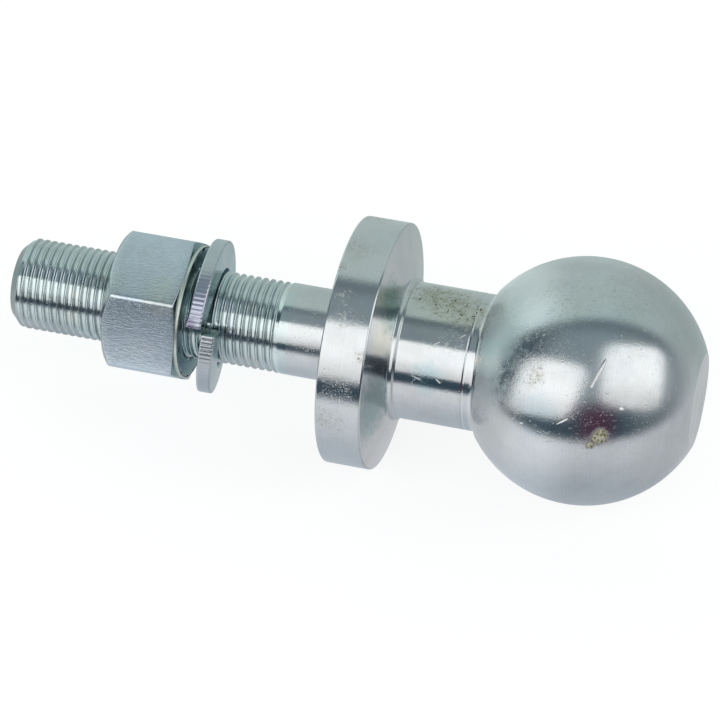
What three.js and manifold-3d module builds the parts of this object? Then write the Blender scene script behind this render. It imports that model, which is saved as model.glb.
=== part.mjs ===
// A bolt-on tow ball: one turned stud (ball, neck, collar and threaded shank), its hex nut and its split
// spring washer. Millimetres, +Z up. The ball lies on its side, as it does on a bench: the collar's rim
// rests on the plane z = 0 and the stud's axis runs along +X, from the thread's end towards the ball.
//
// Every piece is drawn in the stud's own frame first: its z axis is the stud's axis, z = 0 is the collar's
// seat face and +z points at the ball. The group at the end lays that frame down.

import * as THREE from 'three';
import { mergeVertices } from 'three/addons/utils/BufferGeometryUtils.js';
import Module from 'manifold-3d';

const wasm = await Module();
wasm.setup();

const INCH = 25.4;
const DEGREE = Math.PI / 180;

// ---------------------------------------------------------------- driving dimensions

// ball and neck
const ballDiameter = 2 * INCH;
const ballCentreHeight = 50.2;
const ballFlatDiameter = 19.6;
const neckDiameter = 28.4;
const neckGrooveRadius = 3;
const neckGrooveBite = 0.7;

// collar
const collarDiameter = 51.6;
const collarRimHeight = 9.35;
const collarConeRise = 2.65;
const collarEdgeChamfer = 0.35;
const collarFilletRadius = 0.8;

// shank and thread (3/4 in, 16 turns to the inch, right-hand)
const shankDiameter = 0.75 * INCH;
const plainShankLength = 12.8;
const shankLength = 70.9;
const threadPitch = INCH / 16;
const threadDepth = 0.92;
const threadCrestAllowance = 0.035;
const threadCrestShare = 1 / 8;
const threadRootShare = 0.22;
const threadLap = 0.3;
const shankEndDiameter = 15;
const shankEndChamferLength = 2.1;

// hex nut
const nutAcrossFlats = 1.125 * INCH;
const nutHeight = 16.3;
const nutFaceDepth = 32.7;
const nutCornerAngle = 47.7 * DEGREE;
const nutBearingDiameter = 27;
const nutBearingCornerDrop = 0.6;
const nutOuterFaceDiameter = 27.8;
const nutOuterCornerDrop = 2.1;
const nutCountersink = 0.5;

// split spring washer
const washerOuterDiameter = 31.9;
const washerRimThickness = 2.9;
const washerBoreThickness = 3.9;
const washerEdgeChamfer = 0.35;
const washerRise = 3.1;
const washerSplitAngle = 242.7 * DEGREE;
const washerSplitGap = 4 * DEGREE;
const washerDepth = 28.9;
const washerLean = 6 * DEGREE;
const washerLeanAngle = 228.7 * DEGREE;
const washerHang = 0.25;

// clearances
const threadClearance = 0.2;
const washerBoreClearance = 0.675;

// fineness of the faceted surfaces
const mergeTolerance = 1e-5;
const ballSegments = 48;
const ballArcSteps = 16;
const grooveArcSteps = 4;
const filletArcSteps = 3;
const threadSegments = 20;
const nutSegments = 36;
const washerSteps = 60;

// ---------------------------------------------------------------- sizes that follow

const ballRadius = ballDiameter / 2;
const ballFlatRadius = ballFlatDiameter / 2;
const neckRadius = neckDiameter / 2;
const collarRadius = collarDiameter / 2;
const shankRadius = shankDiameter / 2;
const threadCrestRadius = shankRadius - threadCrestAllowance;
const threadRootRadius = threadCrestRadius - threadDepth;
const ballTopHeight = ballCentreHeight + Math.sqrt(ballRadius ** 2 - ballFlatRadius ** 2);
const nutCornerRadius = nutAcrossFlats / Math.sqrt(3);
const washerOuterRadius = washerOuterDiameter / 2;
const washerBoreRadius = shankRadius + washerBoreClearance;

// ---------------------------------------------------------------- helpers

// The triangles that still have three corners once shared vertices are merged.
function fullTriangles(index) {
  const kept = [];
  for (let i = 0; i < index.length; i += 3) {
    const [a, b, c] = index.slice(i, i + 3);
    if (a !== b && b !== c && c !== a) {
      kept.push(a, b, c);
    }
  }
  return kept;
}

// A closed geometry as a manifold solid.
function toSolid(geometry) {
  const bare = geometry.index ? geometry.toNonIndexed() : geometry.clone();
  bare.deleteAttribute('normal');
  bare.deleteAttribute('uv');
  const merged = mergeVertices(bare, mergeTolerance);
  const vertProperties = new Float32Array(merged.attributes.position.array);
  const triVerts = new Uint32Array(fullTriangles(merged.index.array));
  return new wasm.Manifold(new wasm.Mesh({ numProp: 3, vertProperties, triVerts }));
}

// A manifold solid as flat-shaded geometry.
function toGeometry(solid) {
  const { vertProperties, triVerts } = solid.getMesh();
  const geometry = new THREE.BufferGeometry();
  geometry.setAttribute('position', new THREE.BufferAttribute(new Float32Array(vertProperties), 3));
  geometry.setIndex(new THREE.BufferAttribute(new Uint32Array(triVerts), 1));
  geometry.computeVertexNormals();
  return geometry;
}

// A solid of revolution about z from [radius, height] points that run upwards from axis to axis.
function turned(profile, segments) {
  const points = profile.map(([radius, height]) => new THREE.Vector2(radius, height));
  const geometry = new THREE.LatheGeometry(points, segments);
  geometry.rotateX(Math.PI / 2);
  geometry.rotateZ(Math.PI / segments);
  return toSolid(geometry);
}

// Points on an arc in the [radius, height] plane, both ends included.
function arc(centreRadius, centreHeight, radius, fromAngle, toAngle, steps) {
  const points = [];
  for (let i = 0; i <= steps; i += 1) {
    const angle = fromAngle + (toAngle - fromAngle) * (i / steps);
    points.push([centreRadius + radius * Math.cos(angle), centreHeight + radius * Math.sin(angle)]);
  }
  return points;
}

// A closed body from rings of points, each ring joined to the next, with a fan at both ends.
function loftedSolid(rings, firstCentre, lastCentre) {
  const count = rings[0].length;
  const positions = rings.flat().concat([firstCentre, lastCentre]).flatMap((point) => point.toArray());
  const first = rings.length * count;
  const last = first + 1;
  const lastRing = (rings.length - 1) * count;
  const index = [];
  for (let i = 0; i < count; i += 1) {
    const next = (i + 1) % count;
    for (let ring = 0; ring + 1 < rings.length; ring += 1) {
      const here = ring * count;
      const there = here + count;
      index.push(here + i, there + next, here + next, here + i, there + i, there + next);
    }
    index.push(first, i, next, last, lastRing + next, lastRing + i);
  }
  const geometry = new THREE.BufferGeometry();
  geometry.setAttribute('position', new THREE.Float32BufferAttribute(positions, 3));
  geometry.setIndex(index);
  return toSolid(geometry);
}

// ---------------------------------------------------------------- screw thread

// One pitch of the thread's outline: [radius, height] from the middle of one root to the next.
function threadOutline(crestRadius, rootRadius) {
  const halfRoot = (threadRootShare / 2) * threadPitch;
  const halfCrest = (threadCrestShare / 2) * threadPitch;
  const middle = threadPitch / 2;
  return [
    [rootRadius, 0],
    [rootRadius, halfRoot],
    [crestRadius, middle - halfCrest],
    [crestRadius, middle + halfCrest],
    [rootRadius, threadPitch - halfRoot],
  ];
}

// A right-hand threaded rod that covers lowHeight to highHeight and runs a little past both. The helix has
// the same phase whatever its ends and radii are, so a nut cut by it is in mesh with the stud.
function threadedRod(crestRadius, rootRadius, lowHeight, highHeight) {
  const outline = threadOutline(crestRadius, rootRadius);
  const firstTurn = Math.floor(lowHeight / threadPitch) - 2;
  const turns = Math.ceil(highHeight / threadPitch) + 1 - firstTurn;
  const steps = turns * threadSegments;
  const columns = outline.length;
  const vertex = (step, column) => {
    const [radius, height] = outline[column];
    const angle = (2 * Math.PI * step) / threadSegments;
    const rise = (firstTurn + step / threadSegments) * threadPitch;
    return [radius * Math.cos(angle), radius * Math.sin(angle), height + rise];
  };
  const positions = [];
  for (let step = 0; step <= steps + threadSegments; step += 1) {
    for (let column = 0; column < columns; column += 1) {
      positions.push(...vertex(step, column));
    }
  }
  // The last column of one turn is the first column of the turn above it.
  const at = (step, column) => {
    if (column < columns) {
      return step * columns + column;
    }
    return (step + threadSegments) * columns;
  };
  const index = [];
  for (let step = 0; step < steps; step += 1) {
    for (let column = 0; column < columns; column += 1) {
      const opposite = at(step + 1, column + 1);
      index.push(at(step, column), at(step + 1, column), opposite);
      index.push(at(step, column), opposite, at(step, column + 1));
    }
  }
  const axisPoint = (height) => {
    positions.push(0, 0, height);
    return positions.length / 3 - 1;
  };
  const bottom = axisPoint((firstTurn + 0.5) * threadPitch);
  const top = axisPoint((firstTurn + turns + 0.5) * threadPitch);
  for (let step = 0; step < threadSegments; step += 1) {
    index.push(bottom, at(step + 1, 0), at(step, 0));
    index.push(top, at(steps + step, 0), at(steps + step + 1, 0));
  }
  for (let column = 0; column < columns; column += 1) {
    index.push(bottom, at(0, column), at(0, column + 1));
    index.push(top, at(steps, column + 1), at(steps, column));
  }
  const geometry = new THREE.BufferGeometry();
  geometry.setAttribute('position', new THREE.Float32BufferAttribute(positions, 3));
  geometry.setIndex(index);
  return toSolid(geometry);
}

// ---------------------------------------------------------------- ball stud

// Where the groove at the neck's top runs out into the ball: a point that both circles share.
function grooveMeetsBall(grooveCentreRadius, grooveCentreHeight) {
  const across = grooveCentreRadius;
  const up = grooveCentreHeight - ballCentreHeight;
  const apart = Math.hypot(across, up);
  const along = (apart ** 2 + ballRadius ** 2 - neckGrooveRadius ** 2) / (2 * apart);
  const aside = Math.sqrt(ballRadius ** 2 - along ** 2);
  const radius = (along * across - aside * up) / apart;
  const height = (along * up + aside * across) / apart;
  return [radius, height + ballCentreHeight];
}

// The groove leaves the neck in line with it, turns outwards and cuts a little way into the ball.
function neckAndBallProfile() {
  const centreRadius = neckRadius + neckGrooveRadius;
  const touchingDrop = Math.sqrt((ballRadius + neckGrooveRadius) ** 2 - centreRadius ** 2);
  const centreHeight = ballCentreHeight - touchingDrop + neckGrooveBite;
  const [meetRadius, meetHeight] = grooveMeetsBall(centreRadius, centreHeight);
  const meetAngle = Math.atan2(meetHeight - centreHeight, meetRadius - centreRadius);
  const groove = arc(centreRadius, centreHeight, neckGrooveRadius, Math.PI, meetAngle, grooveArcSteps);
  const ballStart = Math.atan2(meetHeight - ballCentreHeight, meetRadius);
  const ballEnd = Math.acos(ballFlatRadius / ballRadius);
  const ball = arc(0, ballCentreHeight, ballRadius, ballStart, ballEnd, ballArcSteps);
  return groove.concat(ball.slice(1));
}

// A flat seat, a straight rim, and a shallow cone that runs up to the neck through a small fillet.
function collarProfile() {
  const coneFoot = collarRadius - collarEdgeChamfer;
  const slope = Math.atan2(collarConeRise, coneFoot - neckRadius);
  const filletRadius = neckRadius + collarFilletRadius;
  const coneHeight = collarRimHeight + (coneFoot - filletRadius) * Math.tan(slope);
  const filletHeight = coneHeight + collarFilletRadius / Math.cos(slope);
  const coneEnd = -(Math.PI / 2 + slope);
  const fillet = arc(filletRadius, filletHeight, collarFilletRadius, coneEnd, -Math.PI, filletArcSteps);
  return [
    [coneFoot, 0],
    [collarRadius, collarEdgeChamfer],
    [collarRadius, collarRimHeight - collarEdgeChamfer],
    [coneFoot, collarRimHeight],
    ...fillet,
  ];
}

// The threaded end of the shank: a rod trimmed by its end chamfer, with a tenon inside the plain shank.
function threadedShank() {
  const rod = threadedRod(threadCrestRadius, threadRootRadius, -shankLength, -plainShankLength);
  const tenonHeight = threadPitch - plainShankLength;
  const tenonRadius = threadRootRadius - threadDepth / 2;
  const trim = turned(
    [
      [0, -shankLength],
      [shankEndDiameter / 2, -shankLength],
      [shankRadius, shankEndChamferLength - shankLength],
      [shankRadius, threadLap - plainShankLength],
      [tenonRadius, threadLap - plainShankLength],
      [tenonRadius, tenonHeight],
      [0, tenonHeight],
    ],
    ballSegments,
  );
  return rod.intersect(trim);
}

function ballStud() {
  const body = turned(
    [
      [0, -plainShankLength],
      [shankRadius, -plainShankLength],
      [shankRadius, 0],
      ...collarProfile(),
      ...neckAndBallProfile(),
      [0, ballTopHeight],
    ],
    ballSegments,
  );
  return toGeometry(body.add(threadedShank()));
}

// ---------------------------------------------------------------- hex nut

// Six flats, longer than the nut at both ends so that the chamfers trim it.
function hexBar() {
  const overrun = nutHeight / 2;
  const outline = new THREE.Shape();
  for (let corner = 0; corner < 6; corner += 1) {
    const angle = (corner * Math.PI) / 3;
    const point = [nutCornerRadius * Math.cos(angle), nutCornerRadius * Math.sin(angle)];
    if (corner === 0) {
      outline.moveTo(...point);
    } else {
      outline.lineTo(...point);
    }
  }
  outline.closePath();
  const bar = new THREE.ExtrudeGeometry(outline, { depth: nutHeight + 2 * overrun, bevelEnabled: false });
  bar.translate(0, 0, -nutHeight - overrun);
  return toSolid(bar);
}

// The turned outline that rounds the corners off: shallow at the bearing face, steep at the outer face.
function nutChamfers() {
  const reach = nutCornerRadius + nutCountersink;
  const bearingRadius = nutBearingDiameter / 2;
  const outerRadius = nutOuterFaceDiameter / 2;
  const bearingSlope = nutBearingCornerDrop / (nutCornerRadius - bearingRadius);
  const outerSlope = nutOuterCornerDrop / (nutCornerRadius - outerRadius);
  return turned(
    [
      [0, -nutHeight],
      [outerRadius, -nutHeight],
      [reach, outerSlope * (reach - outerRadius) - nutHeight],
      [reach, -bearingSlope * (reach - bearingRadius)],
      [bearingRadius, 0],
      [0, 0],
    ],
    nutSegments,
  );
}

// In the nut's own frame: z = 0 is the bearing face, a corner lies on +x and the body reaches down to
// -nutHeight. The tap is the stud's own helix, seen from where the nut stands on it, plus the clearance.
function hexNut() {
  const tapCrest = threadCrestRadius + threadClearance;
  const tapRoot = threadRootRadius + threadClearance;
  const tap = threadedRod(tapCrest, tapRoot, -nutFaceDepth - nutHeight, -nutFaceDepth)
    .translate([0, 0, nutFaceDepth])
    .rotate([0, 0, -nutCornerAngle / DEGREE]);
  const mouthRadius = tapCrest + nutCountersink;
  const mouthCone = [[0, -mouthRadius], [2 * mouthRadius, mouthRadius], [0, mouthRadius]];
  const topMouth = turned(mouthCone, nutSegments);
  const endMouth = topMouth.rotate([180, 0, 0]).translate([0, 0, -nutHeight]);
  const blank = hexBar().intersect(nutChamfers());
  return toGeometry(blank.subtract(tap).subtract(topMouth).subtract(endMouth));
}

// ---------------------------------------------------------------- split spring washer

// The wire's section, thicker at the bore than at the rim, with its edges broken: [radius, height] points.
function washerSection() {
  const halfRim = washerRimThickness / 2;
  const halfBore = washerBoreThickness / 2;
  const edge = washerEdgeChamfer;
  return [
    [washerBoreRadius, edge - halfBore],
    [washerBoreRadius + edge, -halfBore],
    [washerOuterRadius - edge, -halfRim],
    [washerOuterRadius, edge - halfRim],
    [washerOuterRadius, halfRim - edge],
    [washerOuterRadius - edge, halfRim],
    [washerBoreRadius + edge, halfBore],
    [washerBoreRadius, halfBore - edge],
  ];
}

// One turn of that wire, wound left-hand and cut through at angle 0, about its own middle plane.
function lockWasher() {
  const section = washerSection();
  const rings = [];
  const place = (radius, height, share) => {
    const angle = washerSplitGap / 2 + (2 * Math.PI - washerSplitGap) * share;
    const lift = washerRise * (0.5 - share);
    return new THREE.Vector3(radius * Math.cos(angle), radius * Math.sin(angle), height + lift);
  };
  for (let step = 0; step <= washerSteps; step += 1) {
    rings.push(section.map(([radius, height]) => place(radius, height, step / washerSteps)));
  }
  const middleRadius = (washerBoreRadius + washerOuterRadius) / 2;
  return toGeometry(loftedSolid(rings, place(middleRadius, 0, 0), place(middleRadius, 0, 1)));
}

// ---------------------------------------------------------------- materials

// Bright zinc plate over steel; the nut and washer come from other suppliers, a shade greyer and rougher.
const polishedZinc = new THREE.MeshStandardMaterial({ color: 0xb4bec2, roughness: 0.24, metalness: 1 });
const nutZinc = new THREE.MeshStandardMaterial({ color: 0xa3b2b4, roughness: 0.38, metalness: 1 });
const washerZinc = new THREE.MeshStandardMaterial({ color: 0x93a3aa, roughness: 0.42, metalness: 1 });

// ---------------------------------------------------------------- assembly

function piece(name, geometry, material) {
  const mesh = new THREE.Mesh(geometry, material);
  mesh.name = name;
  return mesh;
}

// The stud's frame: everything sits along its axis.
const onAxis = new THREE.Group();

onAxis.add(piece('ball_stud', ballStud(), polishedZinc));

const nut = piece('hex_nut', hexNut(), nutZinc);
nut.position.z = -nutFaceDepth;
nut.rotation.z = nutCornerAngle;
onAxis.add(nut);

// The washer is loose: it hangs on the thread, a little below the axis, and leans with one side forward.
const washer = piece('lock_washer', lockWasher(), washerZinc);
const leanAxis = new THREE.Vector3(Math.sin(washerLeanAngle), -Math.cos(washerLeanAngle), 0);
washer.quaternion
  .setFromAxisAngle(leanAxis, washerLean)
  .multiply(new THREE.Quaternion().setFromAxisAngle(new THREE.Vector3(0, 0, 1), washerSplitAngle));
washer.position.set(washerHang, 0, -washerDepth);
onAxis.add(washer);

// Laid down: the stud's axis turns to +X and its +x side to the ground, where the widest part rests.
const hitchBall = new THREE.Group();
hitchBall.rotation.y = Math.PI / 2;
hitchBall.position.x = (shankLength - ballTopHeight) / 2;
hitchBall.position.z = Math.max(collarRadius, ballRadius) * Math.cos(Math.PI / ballSegments);
hitchBall.add(onAxis);
hitchBall.updateMatrixWorld(true);

export default hitchBall;
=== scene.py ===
import logging
import math
from dataclasses import dataclass
from enum import Enum
from typing import Dict, List, Sequence, Tuple, Union

import bpy
import numpy as np
from mathutils import Matrix, Vector


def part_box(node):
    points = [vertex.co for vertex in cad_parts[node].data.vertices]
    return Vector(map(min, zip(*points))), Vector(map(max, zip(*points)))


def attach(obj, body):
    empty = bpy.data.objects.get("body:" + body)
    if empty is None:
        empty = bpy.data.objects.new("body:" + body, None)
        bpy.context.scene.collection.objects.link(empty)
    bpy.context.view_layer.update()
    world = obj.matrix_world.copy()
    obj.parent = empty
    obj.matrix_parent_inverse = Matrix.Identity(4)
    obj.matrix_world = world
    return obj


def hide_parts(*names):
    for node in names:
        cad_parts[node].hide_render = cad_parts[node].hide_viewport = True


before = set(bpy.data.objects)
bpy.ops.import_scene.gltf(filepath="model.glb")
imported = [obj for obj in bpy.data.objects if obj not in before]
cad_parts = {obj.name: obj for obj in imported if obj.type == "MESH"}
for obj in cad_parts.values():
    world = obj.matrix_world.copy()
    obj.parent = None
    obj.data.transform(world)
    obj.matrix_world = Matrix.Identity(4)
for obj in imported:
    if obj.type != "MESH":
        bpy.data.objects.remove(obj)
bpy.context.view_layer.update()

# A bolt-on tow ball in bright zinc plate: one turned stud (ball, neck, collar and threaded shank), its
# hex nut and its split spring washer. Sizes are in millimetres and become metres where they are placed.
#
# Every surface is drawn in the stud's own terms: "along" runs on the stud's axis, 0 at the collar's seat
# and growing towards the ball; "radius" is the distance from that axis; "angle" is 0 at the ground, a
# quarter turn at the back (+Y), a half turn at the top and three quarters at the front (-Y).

LOG = logging.getLogger("tow_ball")

MM = 0.001
INCH = 25.4
TURN = 2.0 * math.pi
DEGREE = math.pi / 180.0

Colour = Tuple[float, float, float]
Point = Tuple[float, float]
Corner = Tuple[float, float, float]
Face = Tuple[int, ...]
Socket = bpy.types.NodeSocket
Value = Union[float, Sequence[float], Socket]


# ---------------------------------------------------------------- the stud's axis and its outlines


@dataclass(frozen=True)
class StudAxis:
    """The stud's axis as it lies: where the collar's seat is along X, and how high the axis is."""

    seat_x: float
    height: float

    @classmethod
    def from_frame(cls, ball_top: float) -> "StudAxis":
        """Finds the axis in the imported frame, from how far along it the ball's flat is, in mm."""
        low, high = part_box("ball_stud")
        return cls(high.x / MM - ball_top, (low.z + high.z) / 2.0 / MM)

    def place(self, radius: np.ndarray, angle: np.ndarray, along: np.ndarray) -> np.ndarray:
        """Turns polar places on the stud into points in the frame.

        Args:
            radius: distances from the axis, in mm.
            angle: angles round the axis, in radians.
            along: distances along the axis, in mm.

        Returns:
            Points in metres, one more dimension than the arguments.
        """
        radius, angle, along = np.broadcast_arrays(radius, angle, along)
        down = radius * np.cos(angle)
        return np.stack([self.seat_x + along, radius * np.sin(angle), self.height - down], axis=-1) * MM

    def spot(self, radius: float, angle_deg: float, along: float) -> Vector:
        """The point in mm, in the frame, at an angle in degrees."""
        point = self.place(np.array(radius), np.array(angle_deg * DEGREE), np.array(along))
        return Vector(point / MM)


def arc_points(centre: Point, radius: float, start: float, end: float, steps: int) -> List[Point]:
    """Points of an arc in the (radius, along) plane, both ends included; angles are in radians."""
    angles = np.linspace(start, end, steps + 1)
    return [(centre[0] + radius * math.cos(a), centre[1] + radius * math.sin(a)) for a in angles]


def rounded_outline(corners: Sequence[Corner], steps: int = 3, guard: float = 0.06) -> List[Point]:
    """A run of straight lines whose corners are rounded off.

    Args:
        corners: (radius, along, rounding) of each corner; the first and last aren't rounded.
        steps: chords in each rounding.
        guard: distance of the extra point that keeps the straight part flat beside a rounding.

    Returns:
        The outline's points in order.
    """
    points = [np.array(corners[0][:2])]
    for before, here, after in zip(corners, corners[1:], corners[2:]):
        corner = np.array(here[:2])
        back = np.array(before[:2]) - corner
        ahead = np.array(after[:2]) - corner
        back /= np.linalg.norm(back)
        ahead /= np.linalg.norm(ahead)
        half = math.acos(float(np.clip(back @ ahead, -1.0, 1.0))) / 2.0
        reach = here[2] / math.tan(half)
        centre = corner + (back + ahead) / np.linalg.norm(back + ahead) * here[2] / math.sin(half)
        first = corner + back * reach - centre
        last = corner + ahead * reach - centre
        points.append(centre + first + back * guard)
        for share in np.linspace(0.0, 1.0, steps + 1):
            spoke = first * (1.0 - share) + last * share
            points.append(centre + spoke / np.linalg.norm(spoke) * here[2])
        points.append(centre + last + ahead * guard)
    points.append(np.array(corners[-1][:2]))
    return [(float(p[0]), float(p[1])) for p in points]


def with_short_steps(points: Sequence[Point], longest: float) -> List[Point]:
    """Adds points so that no step of an outline is longer than a given length.

    Args:
        points: the outline.
        longest: the longest step, in mm.

    Returns:
        The finer outline.
    """
    finer = [points[0]]
    for start, end in zip(points, points[1:]):
        count = max(1, math.ceil(math.dist(start, end) / longest))
        for step in range(1, count + 1):
            share = step / count
            radius = start[0] + (end[0] - start[0]) * share
            along = start[1] + (end[1] - start[1]) * share
            finer.append((radius, along))
    return finer


@dataclass(frozen=True)
class ThreadForm:
    """The rolled thread of the stud and the tapped thread of its nut: one right-hand helix.

    The shares are parts of the pitch: the crest's whole width, and half of the root's.
    """

    pitch: float = INCH / 16.0
    crest_radius: float = 9.49
    depth: float = 0.52
    crest_share: float = 0.13
    root_share: float = 0.17
    bend_share: float = 0.1
    rows_per_pitch: int = 16

    def radius(self, phase: np.ndarray) -> np.ndarray:
        """The thread's radius by phase: a flat root, hollow bends, straight flanks and a narrow crest.

        Args:
            phase: place in the pitch; whole numbers are the middle of a root.

        Returns:
            The radius in mm.
        """
        away = np.abs(phase - np.round(phase))
        past_root = np.maximum(away - self.root_share, 0.0)
        flank_width = 0.5 - self.crest_share / 2.0 - self.root_share - self.bend_share / 2.0
        slope = self.depth / flank_width
        bend = slope / (2.0 * self.bend_share) * past_root**2
        flank = slope * (past_root - self.bend_share / 2.0)
        height = np.where(past_root < self.bend_share, bend, flank)
        return self.crest_radius - self.depth + np.minimum(height, self.depth)

    def phase(self, angle: np.ndarray, along: np.ndarray) -> np.ndarray:
        """Where a point is in the pitch, in turns."""
        return along / self.pitch - angle / TURN

    def rows(self, low: float, high: float, angles: np.ndarray) -> np.ndarray:
        """Rows of heights that cover a stretch, with one row on each crest's edge in every column.

        Args:
            low: where the stretch starts.
            high: where it ends.
            angles: the columns' angles, in radians.

        Returns:
            Heights, rows by columns, in mm.
        """
        count = math.ceil((high - low) / self.pitch * self.rows_per_pitch)
        even = np.linspace(low, high, count + 1)
        step = even[1] - even[0]
        heights = np.repeat(even[:, None], len(angles), axis=1)
        for column, angle in enumerate(angles):
            lead = angle / TURN * self.pitch
            first_turn = math.floor((low - lead) / self.pitch) - 1
            last_turn = math.ceil((high - lead) / self.pitch) + 1
            for turn in range(first_turn, last_turn + 1):
                for side in (-0.5, 0.5):
                    edge = (turn + 0.5 + side * self.crest_share) * self.pitch + lead
                    row = round((edge - low) / step)
                    if 0 < row < count:
                        heights[row, column] = edge
        return heights


# ---------------------------------------------------------------- meshes


@dataclass
class Skin:
    """Rows of points round the axis that a mesh is woven from."""

    radius: np.ndarray
    along: np.ndarray
    angle: np.ndarray
    bands: np.ndarray
    split_rows: np.ndarray

    @classmethod
    def from_outline(cls, outline: Sequence[Point], angles: np.ndarray, band: int) -> "Skin":
        """A turned stretch.

        Args:
            outline: its (radius, along) points.
            angles: the columns' angles, in radians.
            band: the finish's number for the rows.

        Returns:
            The stretch as rows by columns.
        """
        profile = np.array(outline)
        ones = np.ones(len(angles))
        rows = len(profile)
        return cls(
            profile[:, :1] * ones,
            profile[:, 1:] * ones,
            np.tile(angles, (rows, 1)),
            np.full(rows, band),
            np.zeros(rows, bool),
        )

    def then(self, other: "Skin") -> "Skin":
        """This stretch followed by another one.

        Args:
            other: the next stretch; it doesn't repeat this one's last row.

        Returns:
            Both as one.
        """
        return Skin(
            np.concatenate([self.radius, other.radius]),
            np.concatenate([self.along, other.along]),
            np.concatenate([self.angle, other.angle]),
            np.concatenate([self.bands, other.bands]),
            np.concatenate([self.split_rows, other.split_rows]),
        )

    def travelled(self) -> np.ndarray:
        """How far each row is along the outline from the first one, in mm."""
        steps = np.hypot(np.diff(self.radius.mean(axis=1)), np.diff(self.along.mean(axis=1)))
        return np.concatenate([[0.0], np.cumsum(steps)])


def weave(rows: int, columns: int, split_rows: np.ndarray, ring: bool) -> List[Face]:
    """The faces between neighbouring rows of a closed skin.

    Args:
        rows: how many rows it has.
        columns: how many points each row has.
        split_rows: rows whose faces are triangles that follow the thread.
        ring: whether the last row joins the first.

    Returns:
        The faces as corner numbers.
    """
    faces: List[Face] = []
    for row in range(rows if ring else rows - 1):
        above = (row + 1) % rows
        for column in range(columns):
            beside = (column + 1) % columns
            corners = (
                row * columns + column,
                row * columns + beside,
                above * columns + beside,
                above * columns + column,
            )
            if split_rows[row]:
                faces.append(corners[:3])
                faces.append((corners[0], corners[2], corners[3]))
            else:
                faces.append(corners)
    return faces


def fan(tip: int, ring: int, count: int, outward: bool) -> List[Face]:
    """Triangles from a middle point to a ring of points, turning the ring's own way if outward."""
    pairs = [(ring + i, ring + (i + 1) % count) for i in range(count)]
    return [(tip, here, beside) if outward else (tip, beside, here) for here, beside in pairs]


def new_piece(name: str, points: np.ndarray, faces: List[Face], lay: np.ndarray) -> bpy.types.Object:
    """A smooth mesh object.

    Args:
        name: the piece's name.
        points: its points in metres.
        faces: its faces as corner numbers.
        lay: for each point, how far it is along the outline in mm, which the tool marks follow.

    Returns:
        The object, linked to the scene.
    """
    mesh = bpy.data.meshes.new(name)
    mesh.from_pydata(points.tolist(), [], faces)
    mesh.validate()
    mesh.shade_smooth()
    attribute = mesh.attributes.new("lay", "FLOAT", "POINT")
    attribute.data.foreach_set("value", lay.astype(np.float32))
    piece = bpy.data.objects.new(name, mesh)
    bpy.context.scene.collection.objects.link(piece)
    return piece


# ---------------------------------------------------------------- node graphs


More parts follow.
